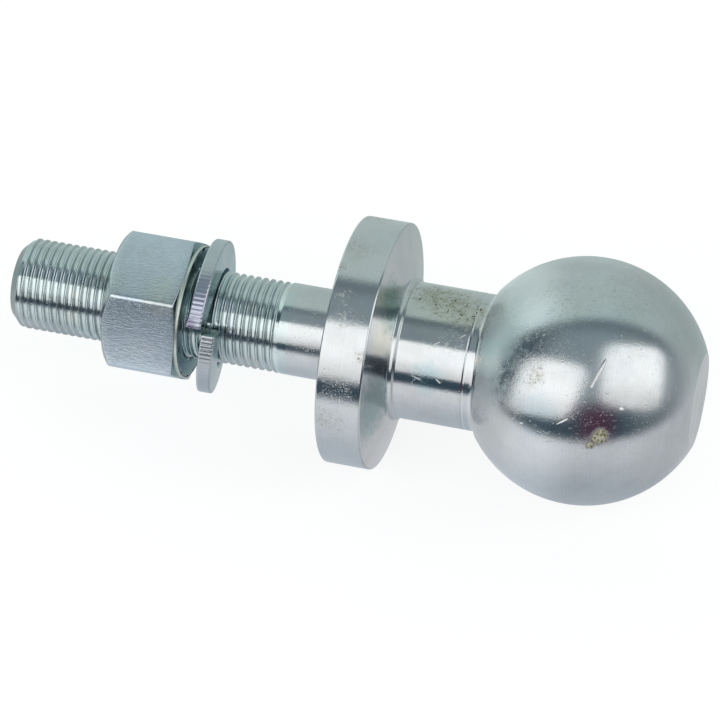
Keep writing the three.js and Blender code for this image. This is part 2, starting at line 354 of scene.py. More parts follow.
class Graph:
    """A node tree under construction, with one short method for each kind of node."""

    def __init__(self, tree: bpy.types.NodeTree) -> None:
        """Takes a node tree to fill and empties it."""
        self.tree = tree
        tree.nodes.clear()

    def add(self, kind: str, inputs: Dict[Union[str, int], Value], **settings: object) -> bpy.types.Node:
        """Adds a node.

        Args:
            kind: the node's type.
            inputs: values or sockets by input name or number.
            **settings: the node's own settings.

        Returns:
            The node.
        """
        node = self.tree.nodes.new(kind)
        for key, value in settings.items():
            setattr(node, key, value)
        for key, value in inputs.items():
            socket = node.inputs[key]
            if isinstance(value, Socket):
                self.tree.links.new(value, socket)
            elif socket.type == "RGBA":
                socket.default_value = (*value, 1.0)
            else:
                socket.default_value = value
        return node

    def math(self, operation: str, first: Value, second: Value = 0.0) -> Socket:
        """One arithmetic step on two numbers."""
        return self.add("ShaderNodeMath", {0: first, 1: second}, operation=operation).outputs[0]

    def times(self, first: Value, second: Value) -> Socket:
        """Two numbers multiplied."""
        return self.math("MULTIPLY", first, second)

    def vector(self, operation: str, first: Value, second: Value = (0.0, 0.0, 0.0)) -> Socket:
        """One step on two vectors; a length or dot product comes out as a number.

        Args:
            operation: the step's name.
            first: the first vector.
            second: the second vector, where the step has one.

        Returns:
            The result's socket.
        """
        node = self.add("ShaderNodeVectorMath", {0: first, 1: second}, operation=operation)
        number = operation in ("DOT_PRODUCT", "LENGTH", "DISTANCE")
        return node.outputs["Value" if number else "Vector"]

    def scaled(self, vector: Value, scale: Value) -> Socket:
        """A vector times a number."""
        node = self.add("ShaderNodeVectorMath", {0: vector, "Scale": scale}, operation="SCALE")
        return node.outputs["Vector"]

    def blend(self, factor: Value, first: Value, second: Value) -> Socket:
        """Two numbers mixed."""
        inputs = {0: factor, 2: first, 3: second}
        return self.add("ShaderNodeMix", inputs, data_type="FLOAT").outputs[0]

    def mix(self, factor: Value, first: Value, second: Value, blend: str = "MIX") -> Socket:
        """Two colours mixed."""
        inputs = {0: factor, 6: first, 7: second}
        return self.add("ShaderNodeMix", inputs, data_type="RGBA", blend_type=blend).outputs[2]

    def tinted(self, first: Value, second: Value) -> Socket:
        """Two colours multiplied."""
        return self.mix(1.0, first, second, "MULTIPLY")

    def ramp(self, value: Value, low: float, high: float, start: float = 0.0, end: float = 1.0) -> Socket:
        """A smooth step from one value to another.

        Args:
            value: the number that the step follows.
            low: where the step starts.
            high: where it ends; it may be below low.
            start: the value up to low.
            end: the value from high on.

        Returns:
            The step's socket.
        """
        inputs = {"Value": value, "From Min": low, "From Max": high, "To Min": start, "To Max": end}
        smooth = {"interpolation_type": "SMOOTHSTEP", "clamp": True}
        return self.add("ShaderNodeMapRange", inputs, **smooth).outputs[0]

    def noise(self, place: Value, scale: float, detail: float = 2.0, roughness: float = 0.5) -> Socket:
        """Soft noise in space, from 0 to 1 with its mean at one half."""
        inputs = {"Vector": place, "Scale": scale, "Detail": detail, "Roughness": roughness}
        return self.add("ShaderNodeTexNoise", inputs).outputs[0]

    def line_noise(self, place: Value, scale: float, detail: float = 2.0) -> Socket:
        """Soft noise along one number."""
        inputs = {"W": place, "Scale": scale, "Detail": detail, "Roughness": 0.6}
        return self.add("ShaderNodeTexNoise", inputs, noise_dimensions="1D").outputs[0]


# ---------------------------------------------------------------- marks and finishes


class MarkKind(Enum):
    """The kinds of small damage, dirt and colour that the plate carries; a scratch also carries a painted
    shadow and a painted highlight.
    """

    SPECKS = "specks"
    SCRATCH = "scratch"
    CRUST = "crust"
    FROST = "frost"
    SMEAR = "smear"
    TINT = "tint"
    MATTE = "matte"


@dataclass(frozen=True)
class Cover:
    """What lies on the plate at a mark: its colour, its roughness and how metallic it is."""

    colour: Colour
    rough: float
    metal: float


OLIVE_HAZE = Cover((0.34, 0.33, 0.22), 0.35, 0.9)
OLIVE_SPECK = Cover((0.13, 0.115, 0.06), 0.55, 0.5)
DARK_SPECK = Cover((0.07, 0.06, 0.035), 0.6, 0.3)
RUST_HAZE = Cover((0.2, 0.13, 0.09), 0.5, 0.5)
CRUST_GRAIN = Cover((0.56, 0.55, 0.42), 0.8, 0.0)
CRUST_HOLE = Cover((0.15, 0.13, 0.07), 0.8, 0.0)
PALE_BLOOM = Cover((0.84, 0.86, 0.87), 0.5, 0.35)
BLOOM_PIT = Cover((0.2, 0.22, 0.23), 0.4, 0.8)
# a scratch's painted shadow beside its groove, and its painted highlight in the groove
SCRATCH_PAINTED_SHADOW = Cover((0.12, 0.12, 0.13), 0.35, 1.0)
SCRATCH_PAINTED_HIGHLIGHT = Cover((0.98, 0.98, 0.97), 0.6, 0.0)
GREY_SMEAR = Cover((0.72, 0.74, 0.72), 0.6, 0.55)
DARK_FLECK = Cover((0.16, 0.16, 0.13), 0.5, 0.7)
# how fine each kind of noise is, in waves to the mm
EDGE_WANDER_SCALE = 0.7
SMEAR_SCALE = 1.3
HAZE_SCALE = 0.8
FINE_SPECK_SCALE = 2.6
COARSE_SPECK_SCALE = 1.25
CRUST_SCALE = 2.2
BLOOM_SCALE = 2.9
LINE_WOBBLE_SCALE = 0.5
CLOUD_SCALE = 0.11
FILM_SCALE = 0.16
STREAK_SCALE = 1.0
NICK_PATCH_SCALE = 0.13
DENT_SCALE = 1.4
CUT_SCALE = 0.9
FLECK_SCALE = 2.9
# offsets that keep two noises of one piece apart
BLOOM_OFFSET = (17.0, 5.0, 9.0)
FILM_OFFSET = (40.0, 0.0, 0.0)
# noise is squeezed along the stud or round it to make streaks and cuts
STREAK_SQUEEZE = (0.8, 2.8, 2.8)
CUT_SQUEEZE = (0.5, 1.9, 1.9)
CUT_SLANT = 0.7
DULL_ROUGH = 0.42
DULL_METAL = 0.5
WARM_FILM: Colour = (0.80, 0.74, 0.60)
COOL_FILM: Colour = (0.66, 0.70, 0.84)


@dataclass(frozen=True)
class Mark:
    """One mark: its kind, its place and how far it reaches.

    The end is a scratch's other end, as an angle and a place along the axis; the colour is a tint's.
    """

    kind: MarkKind
    angle: float
    along: float
    radius: float
    size: float
    strength: float = 1.0
    end: Tuple[float, float] = (0.0, 0.0)
    colour: Colour = (1.0, 1.0, 1.0)


@dataclass
class Surface:
    """What a finish has made so far: the sockets that go into the shader."""

    place: Socket
    colour: Socket
    rough: Socket
    height: Socket
    metal: Value = 1.0

    def coat(self, graph: Graph, mask: Value, cover: Cover) -> None:
        """Covers the surface with something else where the mask is 1.

        Args:
            graph: the graph to add to.
            mask: where it is covered.
            cover: what covers it.
        """
        self.colour = graph.mix(mask, self.colour, cover.colour)
        self.rough = graph.blend(mask, self.rough, cover.rough)
        self.metal = graph.blend(mask, self.metal, cover.metal)

    def raise_by(self, graph: Graph, mask: Value, amount: float) -> None:
        """Adds to the height, in mm, where the mask is 1."""
        self.height = graph.math("ADD", self.height, graph.times(mask, amount))

    def near(self, graph: Graph, centre: Vector, reach: float) -> Socket:
        """A mask about a point, with a wandering edge.

        Args:
            graph: the graph to add to.
            centre: the point, in mm.
            reach: how far it reaches; it is whole in the inner fifth.

        Returns:
            The mask's socket.
        """
        away = graph.vector("DISTANCE", self.place, tuple(centre))
        wander = graph.noise(self.place, EDGE_WANDER_SCALE, 4.0, 0.7)
        wander = graph.math("SUBTRACT", wander, 0.5)
        away = graph.math("ADD", away, graph.times(wander, 1.1 * reach))
        return graph.ramp(away, 0.2 * reach, reach, 1.0, 0.0)

    def add_mark(self, graph: Graph, mark: Mark, axis: StudAxis) -> None:
        """Adds one mark.

        Args:
            graph: the graph to add to.
            mark: the mark.
            axis: the stud's axis, which the mark is placed from.
        """
        centre = axis.spot(mark.radius, mark.angle, mark.along)
        if mark.kind is MarkKind.SCRATCH:
            self.add_scratch(graph, mark, centre, axis.spot(mark.radius, *mark.end))
            return
        area = graph.times(self.near(graph, centre, mark.size), mark.strength)
        if mark.kind is MarkKind.TINT:
            self.colour = graph.mix(area, self.colour, graph.tinted(self.colour, mark.colour))
        elif mark.kind is MarkKind.MATTE:
            self.rough = graph.blend(area, self.rough, DULL_ROUGH)
            self.metal = graph.blend(area, self.metal, DULL_METAL)
        elif mark.kind is MarkKind.SPECKS:
            self.add_specks(graph, area)
        elif mark.kind is MarkKind.CRUST:
            self.add_crust(graph, area)
        elif mark.kind is MarkKind.FROST:
            self.add_frost(graph, area)
        else:
            streaks = graph.ramp(graph.noise(self.place, SMEAR_SCALE, 5.0, 0.75), 0.5, 0.62)
            self.coat(graph, graph.times(streaks, area), GREY_SMEAR)

    def add_specks(self, graph: Graph, area: Value) -> None:
        """Adds olive haze with dark specks of many sizes.

        Args:
            graph: the graph to add to.
            area: where the specks are.
        """
        fine = graph.ramp(graph.noise(self.place, FINE_SPECK_SCALE, 3.0, 0.7), 0.57, 0.66)
        coarse = graph.ramp(graph.noise(self.place, COARSE_SPECK_SCALE, 2.0, 0.6), 0.6, 0.66)
        haze = graph.ramp(graph.noise(self.place, HAZE_SCALE, 3.0, 0.6), 0.35, 0.65, 0.1, 0.5)
        self.coat(graph, graph.times(area, haze), OLIVE_HAZE)
        self.coat(graph, graph.times(fine, area), OLIVE_SPECK)
        self.coat(graph, graph.times(coarse, area), DARK_SPECK)

    def add_crust(self, graph: Graph, area: Value) -> None:
        """Adds a raised grey-green crust with dark holes, and rust haze round it.

        Args:
            graph: the graph to add to.
            area: where the crust is.
        """
        grain = graph.noise(self.place, CRUST_SCALE, 4.0, 0.7)
        solid = graph.ramp(graph.times(area, graph.ramp(grain, 0.3, 0.6, 0.5, 1.0)), 0.3, 0.5)
        holes = graph.times(graph.ramp(grain, 0.48, 0.56), solid)
        self.coat(graph, graph.times(area, 0.5), RUST_HAZE)
        self.coat(graph, solid, CRUST_GRAIN)
        self.coat(graph, holes, CRUST_HOLE)
        self.raise_by(graph, graph.times(grain, solid), 0.45)

    def add_frost(self, graph: Graph, area: Value) -> None:
        """Adds a bloom of pale specks with a few dark pits; a weaker area has fewer of them.

        Args:
            graph: the graph to add to.
            area: where the bloom is.
        """
        grain = graph.noise(graph.vector("ADD", self.place, BLOOM_OFFSET), BLOOM_SCALE, 5.0, 0.8)
        fewer = graph.times(graph.math("SUBTRACT", 1.0, area), 0.13)
        within = graph.ramp(area, 0.0, 0.2)
        pale = graph.ramp(graph.math("SUBTRACT", grain, fewer), 0.54, 0.6)
        dark = graph.ramp(graph.math("ADD", grain, fewer), 0.38, 0.33)
        self.coat(graph, graph.times(pale, within), PALE_BLOOM)
        self.coat(graph, graph.times(dark, within), BLOOM_PIT)
        self.raise_by(graph, graph.times(grain, area), 0.02)

    def add_scratch(self, graph: Graph, mark: Mark, start: Vector, end: Vector) -> None:
        """Adds a scratch: a groove painted pale as a painted highlight, with a dark painted shadow beside
        it, thinner towards its ends.

        Args:
            graph: the graph to add to.
            mark: the scratch; its size is its width.
            start: one end, in mm.
            end: the other end, in mm.
        """
        width = mark.size
        # painted shadow: a dark band set off to the -X side of the groove stands for the shade on its
        # side
        aside = Vector((-0.8 * width, 0.0, 0.0))
        painted_shadow = self.off_line(graph, start + aside, end + aside)
        painted_shadow = graph.ramp(painted_shadow, 0.5 * width, width, 1.0, 0.0)
        # painted highlight: the groove is coated pale non-metallic white for the light it catches; it is
        # also cut into the height
        groove = graph.ramp(self.off_line(graph, start, end), 0.5 * width, width, 1.0, 0.0)
        self.coat(graph, graph.times(painted_shadow, 0.8 * mark.strength), SCRATCH_PAINTED_SHADOW)
        self.coat(graph, graph.times(groove, mark.strength), SCRATCH_PAINTED_HIGHLIGHT)
        self.raise_by(graph, groove, -0.03)

    def off_line(self, graph: Graph, start: Vector, end: Vector) -> Socket:
        """The distance from a line, which grows faster towards its start so that a scratch tapers.

        Args:
            graph: the graph to add to.
            start: one end, in mm.
            end: the other end, in mm.

        Returns:
            The distance's socket.
        """
        run = end - start
        from_start = graph.vector("SUBTRACT", self.place, tuple(start))
        share = graph.vector("DOT_PRODUCT", from_start, tuple(run))
        share = graph.math("DIVIDE", share, run.length_squared)
        share = graph.math("MAXIMUM", graph.math("MINIMUM", share, 1.0), 0.0)
        foot = graph.scaled(tuple(run), share)
        away = graph.vector("LENGTH", graph.vector("SUBTRACT", from_start, foot))
        return graph.math("DIVIDE", away, graph.ramp(share, 0.0, 0.5, 0.5, 1.0))


@dataclass(frozen=True)
class ZincFinish:
    """Bright zinc plate over turned or forged steel.

    Depths and spacings are in mm. The painted flank shade darkens faces that look towards the thread's
    end and towards the ball, as painted shade on the thread's flanks; the streaks run round the part, as
    a forge or a drawing die leaves them.
    """

    name: str
    colour: Colour = (0.72, 0.745, 0.755)
    roughness: float = 0.15
    anisotropy: float = 0.5
    line_spacing: float = 0.28
    line_depth: float = 0.003
    line_shade: float = 0.045
    grain_depth: float = 0.01
    grain_scale: float = 2.2
    cloud: float = 0.1
    nicks: float = 0.5
    specks: float = 0.3
    streak_depth: float = 0.0
    rainbow: float = 0.12
    painted_flank_shade: Tuple[float, float] = (1.0, 1.0)
    marks: Tuple[Mark, ...] = ()

    def build(self, axis: StudAxis) -> bpy.types.Material:
        """Makes the material.

        Args:
            axis: the stud's axis, which marks are placed from.

        Returns:
            The material with its nodes.
        """
        material = bpy.data.materials.new(self.name)
        material.use_nodes = True
        graph = Graph(material.node_tree)
        place = graph.scaled(graph.add("ShaderNodeTexCoord", {}).outputs["Object"], 1.0 / MM)
        lay = graph.add("ShaderNodeAttribute", {}, attribute_name="lay").outputs["Fac"]
        surface = self.plate(graph, place, lay)
        self.wear(graph, surface)
        for mark in self.marks:
            surface.add_mark(graph, mark, axis)
        bump = graph.add("ShaderNodeBump", {"Strength": 1.0, "Distance": MM, "Height": surface.height})
        tangent = graph.add("ShaderNodeTangent", {}, direction_type="RADIAL", axis="X")
        shader = graph.add(
            "ShaderNodeBsdfPrincipled",
            {
                "Base Color": surface.colour,
                "Metallic": surface.metal,
                "Roughness": surface.rough,
                "Anisotropic": self.anisotropy,
                "Anisotropic Rotation": 0.25,
                "Tangent": tangent.outputs[0],
                "Normal": bump.outputs[0],
            },
        )
        graph.add("ShaderNodeOutputMaterial", {"Surface": shader.outputs[0]})
        return material

    def plate(self, graph: Graph, place: Socket, lay: Socket) -> Surface:
        """The plate itself: its clouds, faint rainbow, tool lines and grain.

        Args:
            graph: the graph to add to.
            place: the place on the piece, in mm.
            lay: how far along the outline it is, in mm.

        Returns:
            The surface so far.
        """
        wobble = graph.times(graph.noise(place, LINE_WOBBLE_SCALE, 2.0), 0.35 * self.line_spacing)
        lines = graph.line_noise(graph.math("ADD", lay, wobble), 1.0 / self.line_spacing, 3.0)
        clouds = graph.noise(place, CLOUD_SCALE, 5.0, 0.65)
        shade = graph.ramp(clouds, 0.3, 0.65, 1.0 - self.cloud, 1.0)
        shade = graph.times(shade, graph.ramp(lines, 0.3, 0.62, 1.0 - self.line_shade, 1.0))
        colour = self.with_film(graph, place, graph.tinted(self.colour, shade))
        grain = graph.noise(place, self.grain_scale, 4.0, 0.62)
        height = graph.times(lines, self.line_depth)
        height = graph.math("ADD", height, graph.times(grain, self.grain_depth))
        rough = graph.ramp(clouds, 0.3, 0.7, self.roughness * 1.15, self.roughness * 0.85)
        if min(self.painted_flank_shade) < 1.0:
            colour = self.with_painted_flank_shade(graph, colour)
        surface = Surface(place, colour, rough, height)
        if self.streak_depth:
            self.streak(graph, surface)
        return surface

    def with_film(self, graph: Graph, place: Socket, colour: Socket) -> Socket:
        """The faint rainbow of the chromate film, warm in places and cool in others.

        Args:
            graph: the graph to add to.
            place: the place on the piece, in mm.
            colour: the plate's colour under the film.

        Returns:
            The colour with the film.
        """
        tone = graph.noise(graph.vector("ADD", place, FILM_OFFSET), FILM_SCALE, 3.0, 0.6)
        warm = graph.times(graph.ramp(tone, 0.55, 0.7), self.rainbow)
        cool = graph.times(graph.ramp(tone, 0.45, 0.32), self.rainbow)
        return graph.mix(cool, graph.mix(warm, colour, WARM_FILM), COOL_FILM)

    def with_painted_flank_shade(self, graph: Graph, colour: Socket) -> Socket:
        """Paints shade on the thread's two flanks, darkening each by its own share by the way it faces.

        Args:
            graph: the graph to add to.
            colour: the colour so far.

        Returns:
            The colour with darker flanks.
        """
        # painted shade: each flank is darkened by which way it faces along the axis
        normal = graph.add("ShaderNodeTexCoord", {}).outputs["Normal"]
        facing = graph.vector("DOT_PRODUCT", normal, (1.0, 0.0, 0.0))
        for side, shade in zip((-1.0, 1.0), self.painted_flank_shade):
            flank = graph.ramp(graph.times(facing, side), 0.3, 0.6, 1.0, shade)
            colour = graph.tinted(colour, flank)
        return colour

    def streak(self, graph: Graph, surface: Surface) -> None:
        """Draws fine streaks round the part, in height and a little in colour.

        Args:
            graph: the graph to add to.
            surface: the surface so far, which is changed.
        """
        drawn = graph.vector("MULTIPLY", surface.place, STREAK_SQUEEZE)
        streaks = graph.noise(drawn, STREAK_SCALE, 4.0, 0.65)
        surface.raise_by(graph, streaks, self.streak_depth)
        scores = graph.ramp(streaks, 0.35, 0.65, 0.97, 1.01)
        surface.colour = graph.tinted(surface.colour, scores)

    def wear(self, graph: Graph, surface: Surface) -> None:
        """Nicks that catch the light and small dark specks.

        Args:
            graph: the graph to add to.
            surface: the surface so far, which is changed.
        """
        patches = graph.noise(surface.place, NICK_PATCH_SCALE, 3.0, 0.6)
        patches = graph.ramp(patches, 0.44, 0.62, 0.15, 1.0)
        dents = graph.ramp(graph.noise(surface.place, DENT_SCALE, 2.0, 0.5), 0.66, 0.74)
        surface.raise_by(graph, graph.times(dents, patches), -0.05 * self.nicks)
        drawn = graph.vector("MULTIPLY", surface.place, CUT_SQUEEZE)
        slant = {"Vector": drawn, "Angle": CUT_SLANT}
        drawn = graph.add("ShaderNodeVectorRotate", slant, rotation_type="X_AXIS").outputs[0]
        cuts = graph.ramp(graph.noise(drawn, CUT_SCALE, 1.0, 0.4), 0.7, 0.76)
        surface.raise_by(graph, cuts, -0.02 * self.nicks)
        flecks = graph.ramp(graph.noise(surface.place, FLECK_SCALE, 2.0, 0.5), 0.72, 0.79)
        surface.coat(graph, graph.times(flecks, self.specks), DARK_FLECK)


@dataclass
class Fitting:
    """One piece of the part: its name, the body it rides on, the CAD node it replaces and its slot."""

    name: str
    body: str
    node: str
    slot: str

    def dress(
        self, piece: bpy.types.Object, bands: Sequence[int], finishes: Sequence[bpy.types.Material]
    ) -> None:
        """Gives a piece its finishes and joins it to its body.

        Args:
            piece: the piece's mesh object.
            bands: the number of each face's finish.
            finishes: the finished materials in the order of those numbers.
        """
        for material in finishes:
            piece.data.materials.append(material)
        piece.data.polygons.foreach_set("material_index", bands)
        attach(piece, self.body)
        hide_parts(self.node)


# ---------------------------------------------------------------- the ball stud


class StudBand(Enum):
    """The stud's stretches, each with a finish of its own."""

    END = 0
    THREAD = 1
    SHANK = 2
    COLLAR = 3
    CONE = 4
    NECK = 5
    BALL = 6


@dataclass
class BallStud(Fitting):
    """The stud: threaded shank, collar, neck and ball, turned from one bar."""

    name: str = "tow_ball_stud"
    body: str = "stud"
    node: str = "ball_stud"
    slot: str = "stud_zinc"
    columns: int = 160
    ball_radius: float = INCH
    ball_centre: float = 50.2
    groove_clear: float = 0.004
    ball_steps: int = 110
    groove_steps: int = 12
    flat_radius: float = 9.8
    flat_rounding: float = 0.35
    flat_lead: float = 0.5
    neck_radius: float = 14.2
    groove_radius: float = 1.5
    groove_bite: float = 0.45
    ring_along: float = 27.5
    ring_depth: float = 0.09
    ring_half: float = 0.3
    ring_rounding: float = 0.1
    collar_radius: float = 25.74
    rim_height: float = 9.35
    rim_rounding: float = 0.4
    cone_rise: float = 2.65
    cone_rounding: float = 0.3
    shoulder_radius: float = 14.75
    shoulder_width: float = 0.95
    shoulder_drop: float = 0.3
    shoulder_rounding: float = 0.25
    shank_radius: float = 0.375 * INCH
    shank_length: float = 70.9
    seat_rounding: float = 0.3
    thread_end: float = -12.3
    runout: float = 2.4
    end_radius: float = 7.5
    end_chamfer: float = 2.1

    @property
    def ball_top(self) -> float:
        """How far the ball's flat is along the axis."""
        return self.ball_centre + math.sqrt(self.ball_radius**2 - self.flat_radius**2)

    def ball_radius_at(self, along: float) -> float:
        """The ball's distance from the axis at a place along it."""
        return math.sqrt(self.ball_radius**2 - (along - self.ball_centre) ** 2)

    def ball_mark(
        self,
        kind: MarkKind,
        angle: float,
        along: float,
        size: float,
        strength: float = 1.0,
        colour: Colour = (1.0, 1.0, 1.0),
    ) -> Mark:
        """A round mark on the ball, at the ball's own radius where it lies."""
        radius = self.ball_radius_at(along)
        return Mark(kind, angle, along, radius, size, strength, colour=colour)

    def groove_centre(self) -> Point:
        """The middle of the groove at the neck's top.

        Returns:
            The groove's centre as (radius, along).
        """
        centre_radius = self.neck_radius + self.groove_radius
        drop = math.sqrt((self.ball_radius + self.groove_radius) ** 2 - centre_radius**2)
        return centre_radius, self.ball_centre - drop + self.groove_bite

    def groove_meets_ball(self) -> Point:
        """Where the groove runs out into the ball.

        Returns:
            The point that the groove's circle and the ball's share, as (radius, along).
        """
        across, height = self.groove_centre()
        up = height - self.ball_centre
        apart = math.hypot(across, up)
        shared = (apart**2 + self.ball_radius**2 - self.groove_radius**2) / (2.0 * apart)
        aside = math.sqrt(self.ball_radius**2 - shared**2)
        radius = (shared * across - aside * up) / apart
        return radius, (shared * up + aside * across) / apart + self.ball_centre

    def threaded(self, thread: ThreadForm, angles: np.ndarray) -> Skin:
        """The threaded end, with its end chamfer and its run-out at the plain shank.

        Args:
            thread: the thread.
            angles: the columns' angles, in radians.

        Returns:
            The threaded stretch.
        """
        along = thread.rows(-self.shank_length, self.thread_end, angles)
        angle = np.tile(angles, (len(along), 1))
        cut = thread.radius(thread.phase(angle, along))
        fade = np.clip((self.thread_end - along) / self.runout, 0.0, 1.0)
        fade = fade * fade * (3.0 - 2.0 * fade)
        cut = self.shank_radius - (self.shank_radius - cut) * fade
        slope = (self.shank_radius - self.end_radius) / self.end_chamfer
        chamfer = self.end_radius + slope * (along + self.shank_length)
        rows = len(along)
        return Skin(
            np.minimum(cut, chamfer),
            along,
            angle,
            np.full(rows, StudBand.THREAD.value),
            np.ones(rows, bool),
        )

    def body_outline(self) -> List[Point]:
        """The outline from the plain shank over the collar to the groove under the ball.

        Returns:
            The outline as (radius, along) points.
        """
        shoulder = self.rim_height + self.cone_rise
        step = shoulder + self.shoulder_width
        return rounded_outline(
            [
                (self.shank_radius, self.thread_end, 0.0),
                (self.shank_radius, 0.0, self.seat_rounding),
                (self.collar_radius, 0.0, self.rim_rounding),
                (self.collar_radius, self.rim_height, self.rim_rounding),
                (self.shoulder_radius, shoulder, self.cone_rounding),
                (self.shoulder_radius, step, self.shoulder_rounding),
                (self.neck_radius, step + self.shoulder_drop, self.shoulder_rounding),
                (self.neck_radius, self.ring_along - self.ring_half, self.ring_rounding),
                (self.neck_radius - self.ring_depth, self.ring_along, self.ring_rounding),
                (self.neck_radius, self.ring_along + self.ring_half, self.ring_rounding),
                (self.neck_radius, self.groove_centre()[1] - 0.05, 0.0),
            ],
        )

    def groove_outline(self) -> List[Point]:
        """The hollow between the neck and the ball.

        Returns:
            Its (radius, along) points, from the neck to the ball.
        """
        groove = self.groove_centre()
        meet = self.groove_meets_ball()
        end = math.atan2(meet[1] - groove[1], meet[0] - groove[0])
        return arc_points(groove, self.groove_radius, math.pi, end, self.groove_steps)

    def ball_outline(self) -> List[Point]:
        """The ball from the groove to its small flat.

        Returns:
            Its (radius, along) points.
        """
        meet = self.groove_meets_ball()
        start = math.atan2(meet[1] - self.ball_centre, meet[0]) + self.groove_clear
        end = math.acos(self.flat_radius / self.ball_radius) - self.flat_lead / self.ball_radius
        ball = arc_points((0.0, self.ball_centre), self.ball_radius, start, end, self.ball_steps)
        edge = (self.flat_radius, self.ball_top, self.flat_rounding)
        top = rounded_outline([(*ball[-1], 0.0), edge, (1.5, self.ball_top, 0.0)])
        return ball + with_short_steps(top[1:], 1.5)

    def skin(self, thread: ThreadForm) -> Skin:
        """The whole surface from the thread's end to the ball's flat.

        Args:
            thread: the stud's thread.

        Returns:
            The surface, with the number of a stretch for every row.
        """
        angles = np.arange(self.columns) / self.columns * TURN
        end = [(r, -self.shank_length) for r in (2.5, 5.0, 7.0, self.end_radius - 0.06)]
        body = self.body_outline()
        shoulder = self.rim_height + self.cone_rise
        seat = next(i for i, p in enumerate(body) if p[0] > self.shank_radius + 0.5)
        cone = next(i for i, p in enumerate(body) if p[1] > self.rim_height + 0.05)
        neck = next(i for i, p in enumerate(body) if p[1] > shoulder + 0.2)
        whole = Skin.from_outline(end, angles, StudBand.END.value)
        whole = whole.then(self.threaded(thread, angles))
        for outline, longest, band in (
            (body[: seat + 1], 1.5, StudBand.SHANK),
            (body[seat : cone + 1], 1.5, StudBand.COLLAR),
            (body[cone : neck + 1], 1.5, StudBand.CONE),
            (body[neck:] + self.groove_outline(), 1.0, StudBand.NECK),
        ):
            finer = with_short_steps(outline, longest)[1:]
            whole = whole.then(Skin.from_outline(finer, angles, band.value))
        return whole.then(Skin.from_outline(self.ball_outline(), angles, StudBand.BALL.value))

    def build(
        self, axis: StudAxis, thread: ThreadForm, finishes: Dict[StudBand, ZincFinish]
    ) -> bpy.types.Object:
        """Makes the stud and dresses it.

        Args:
            axis: the stud's axis.
            thread: its thread.
            finishes: a finish for each stretch.

        Returns:
            The finished piece.
        """
        skin = self.skin(thread)
        rows, columns = skin.radius.shape
        points = axis.place(skin.radius, skin.angle, skin.along).reshape(-1, 3)
        tips = axis.place(np.zeros(2), np.zeros(2), np.array([-self.shank_length, self.ball_top]))
        faces = weave(rows, columns, skin.split_rows, ring=False)
        bands = np.repeat(skin.bands[:-1], np.where(skin.split_rows[:-1], 2, 1) * columns).tolist()
        faces += fan(rows * columns, 0, columns, outward=False)
        faces += fan(rows * columns + 1, (rows - 1) * columns, columns, outward=True)
        bands += [StudBand.END.value] * columns + [StudBand.BALL.value] * columns
        travelled = skin.travelled()
        lay = np.concatenate([np.repeat(travelled, columns), [-2.5, travelled[-1] + 1.5]])
        piece = new_piece(self.name, np.concatenate([points, tips]), faces, lay)
        self.dress(piece, bands, [finishes[band].build(axis) for band in StudBand])
        return piece


# ---------------------------------------------------------------- the hex nut


class NutBand(Enum):
    """The nut's surfaces, each with a finish of its own."""

    FLATS = 0
    CHAMFERS = 1
    BORE = 2
    BOSS = 3
    BEARING = 4


NutRow = Tuple[Union[float, np.ndarray], Union[float, np.ndarray], NutBand]


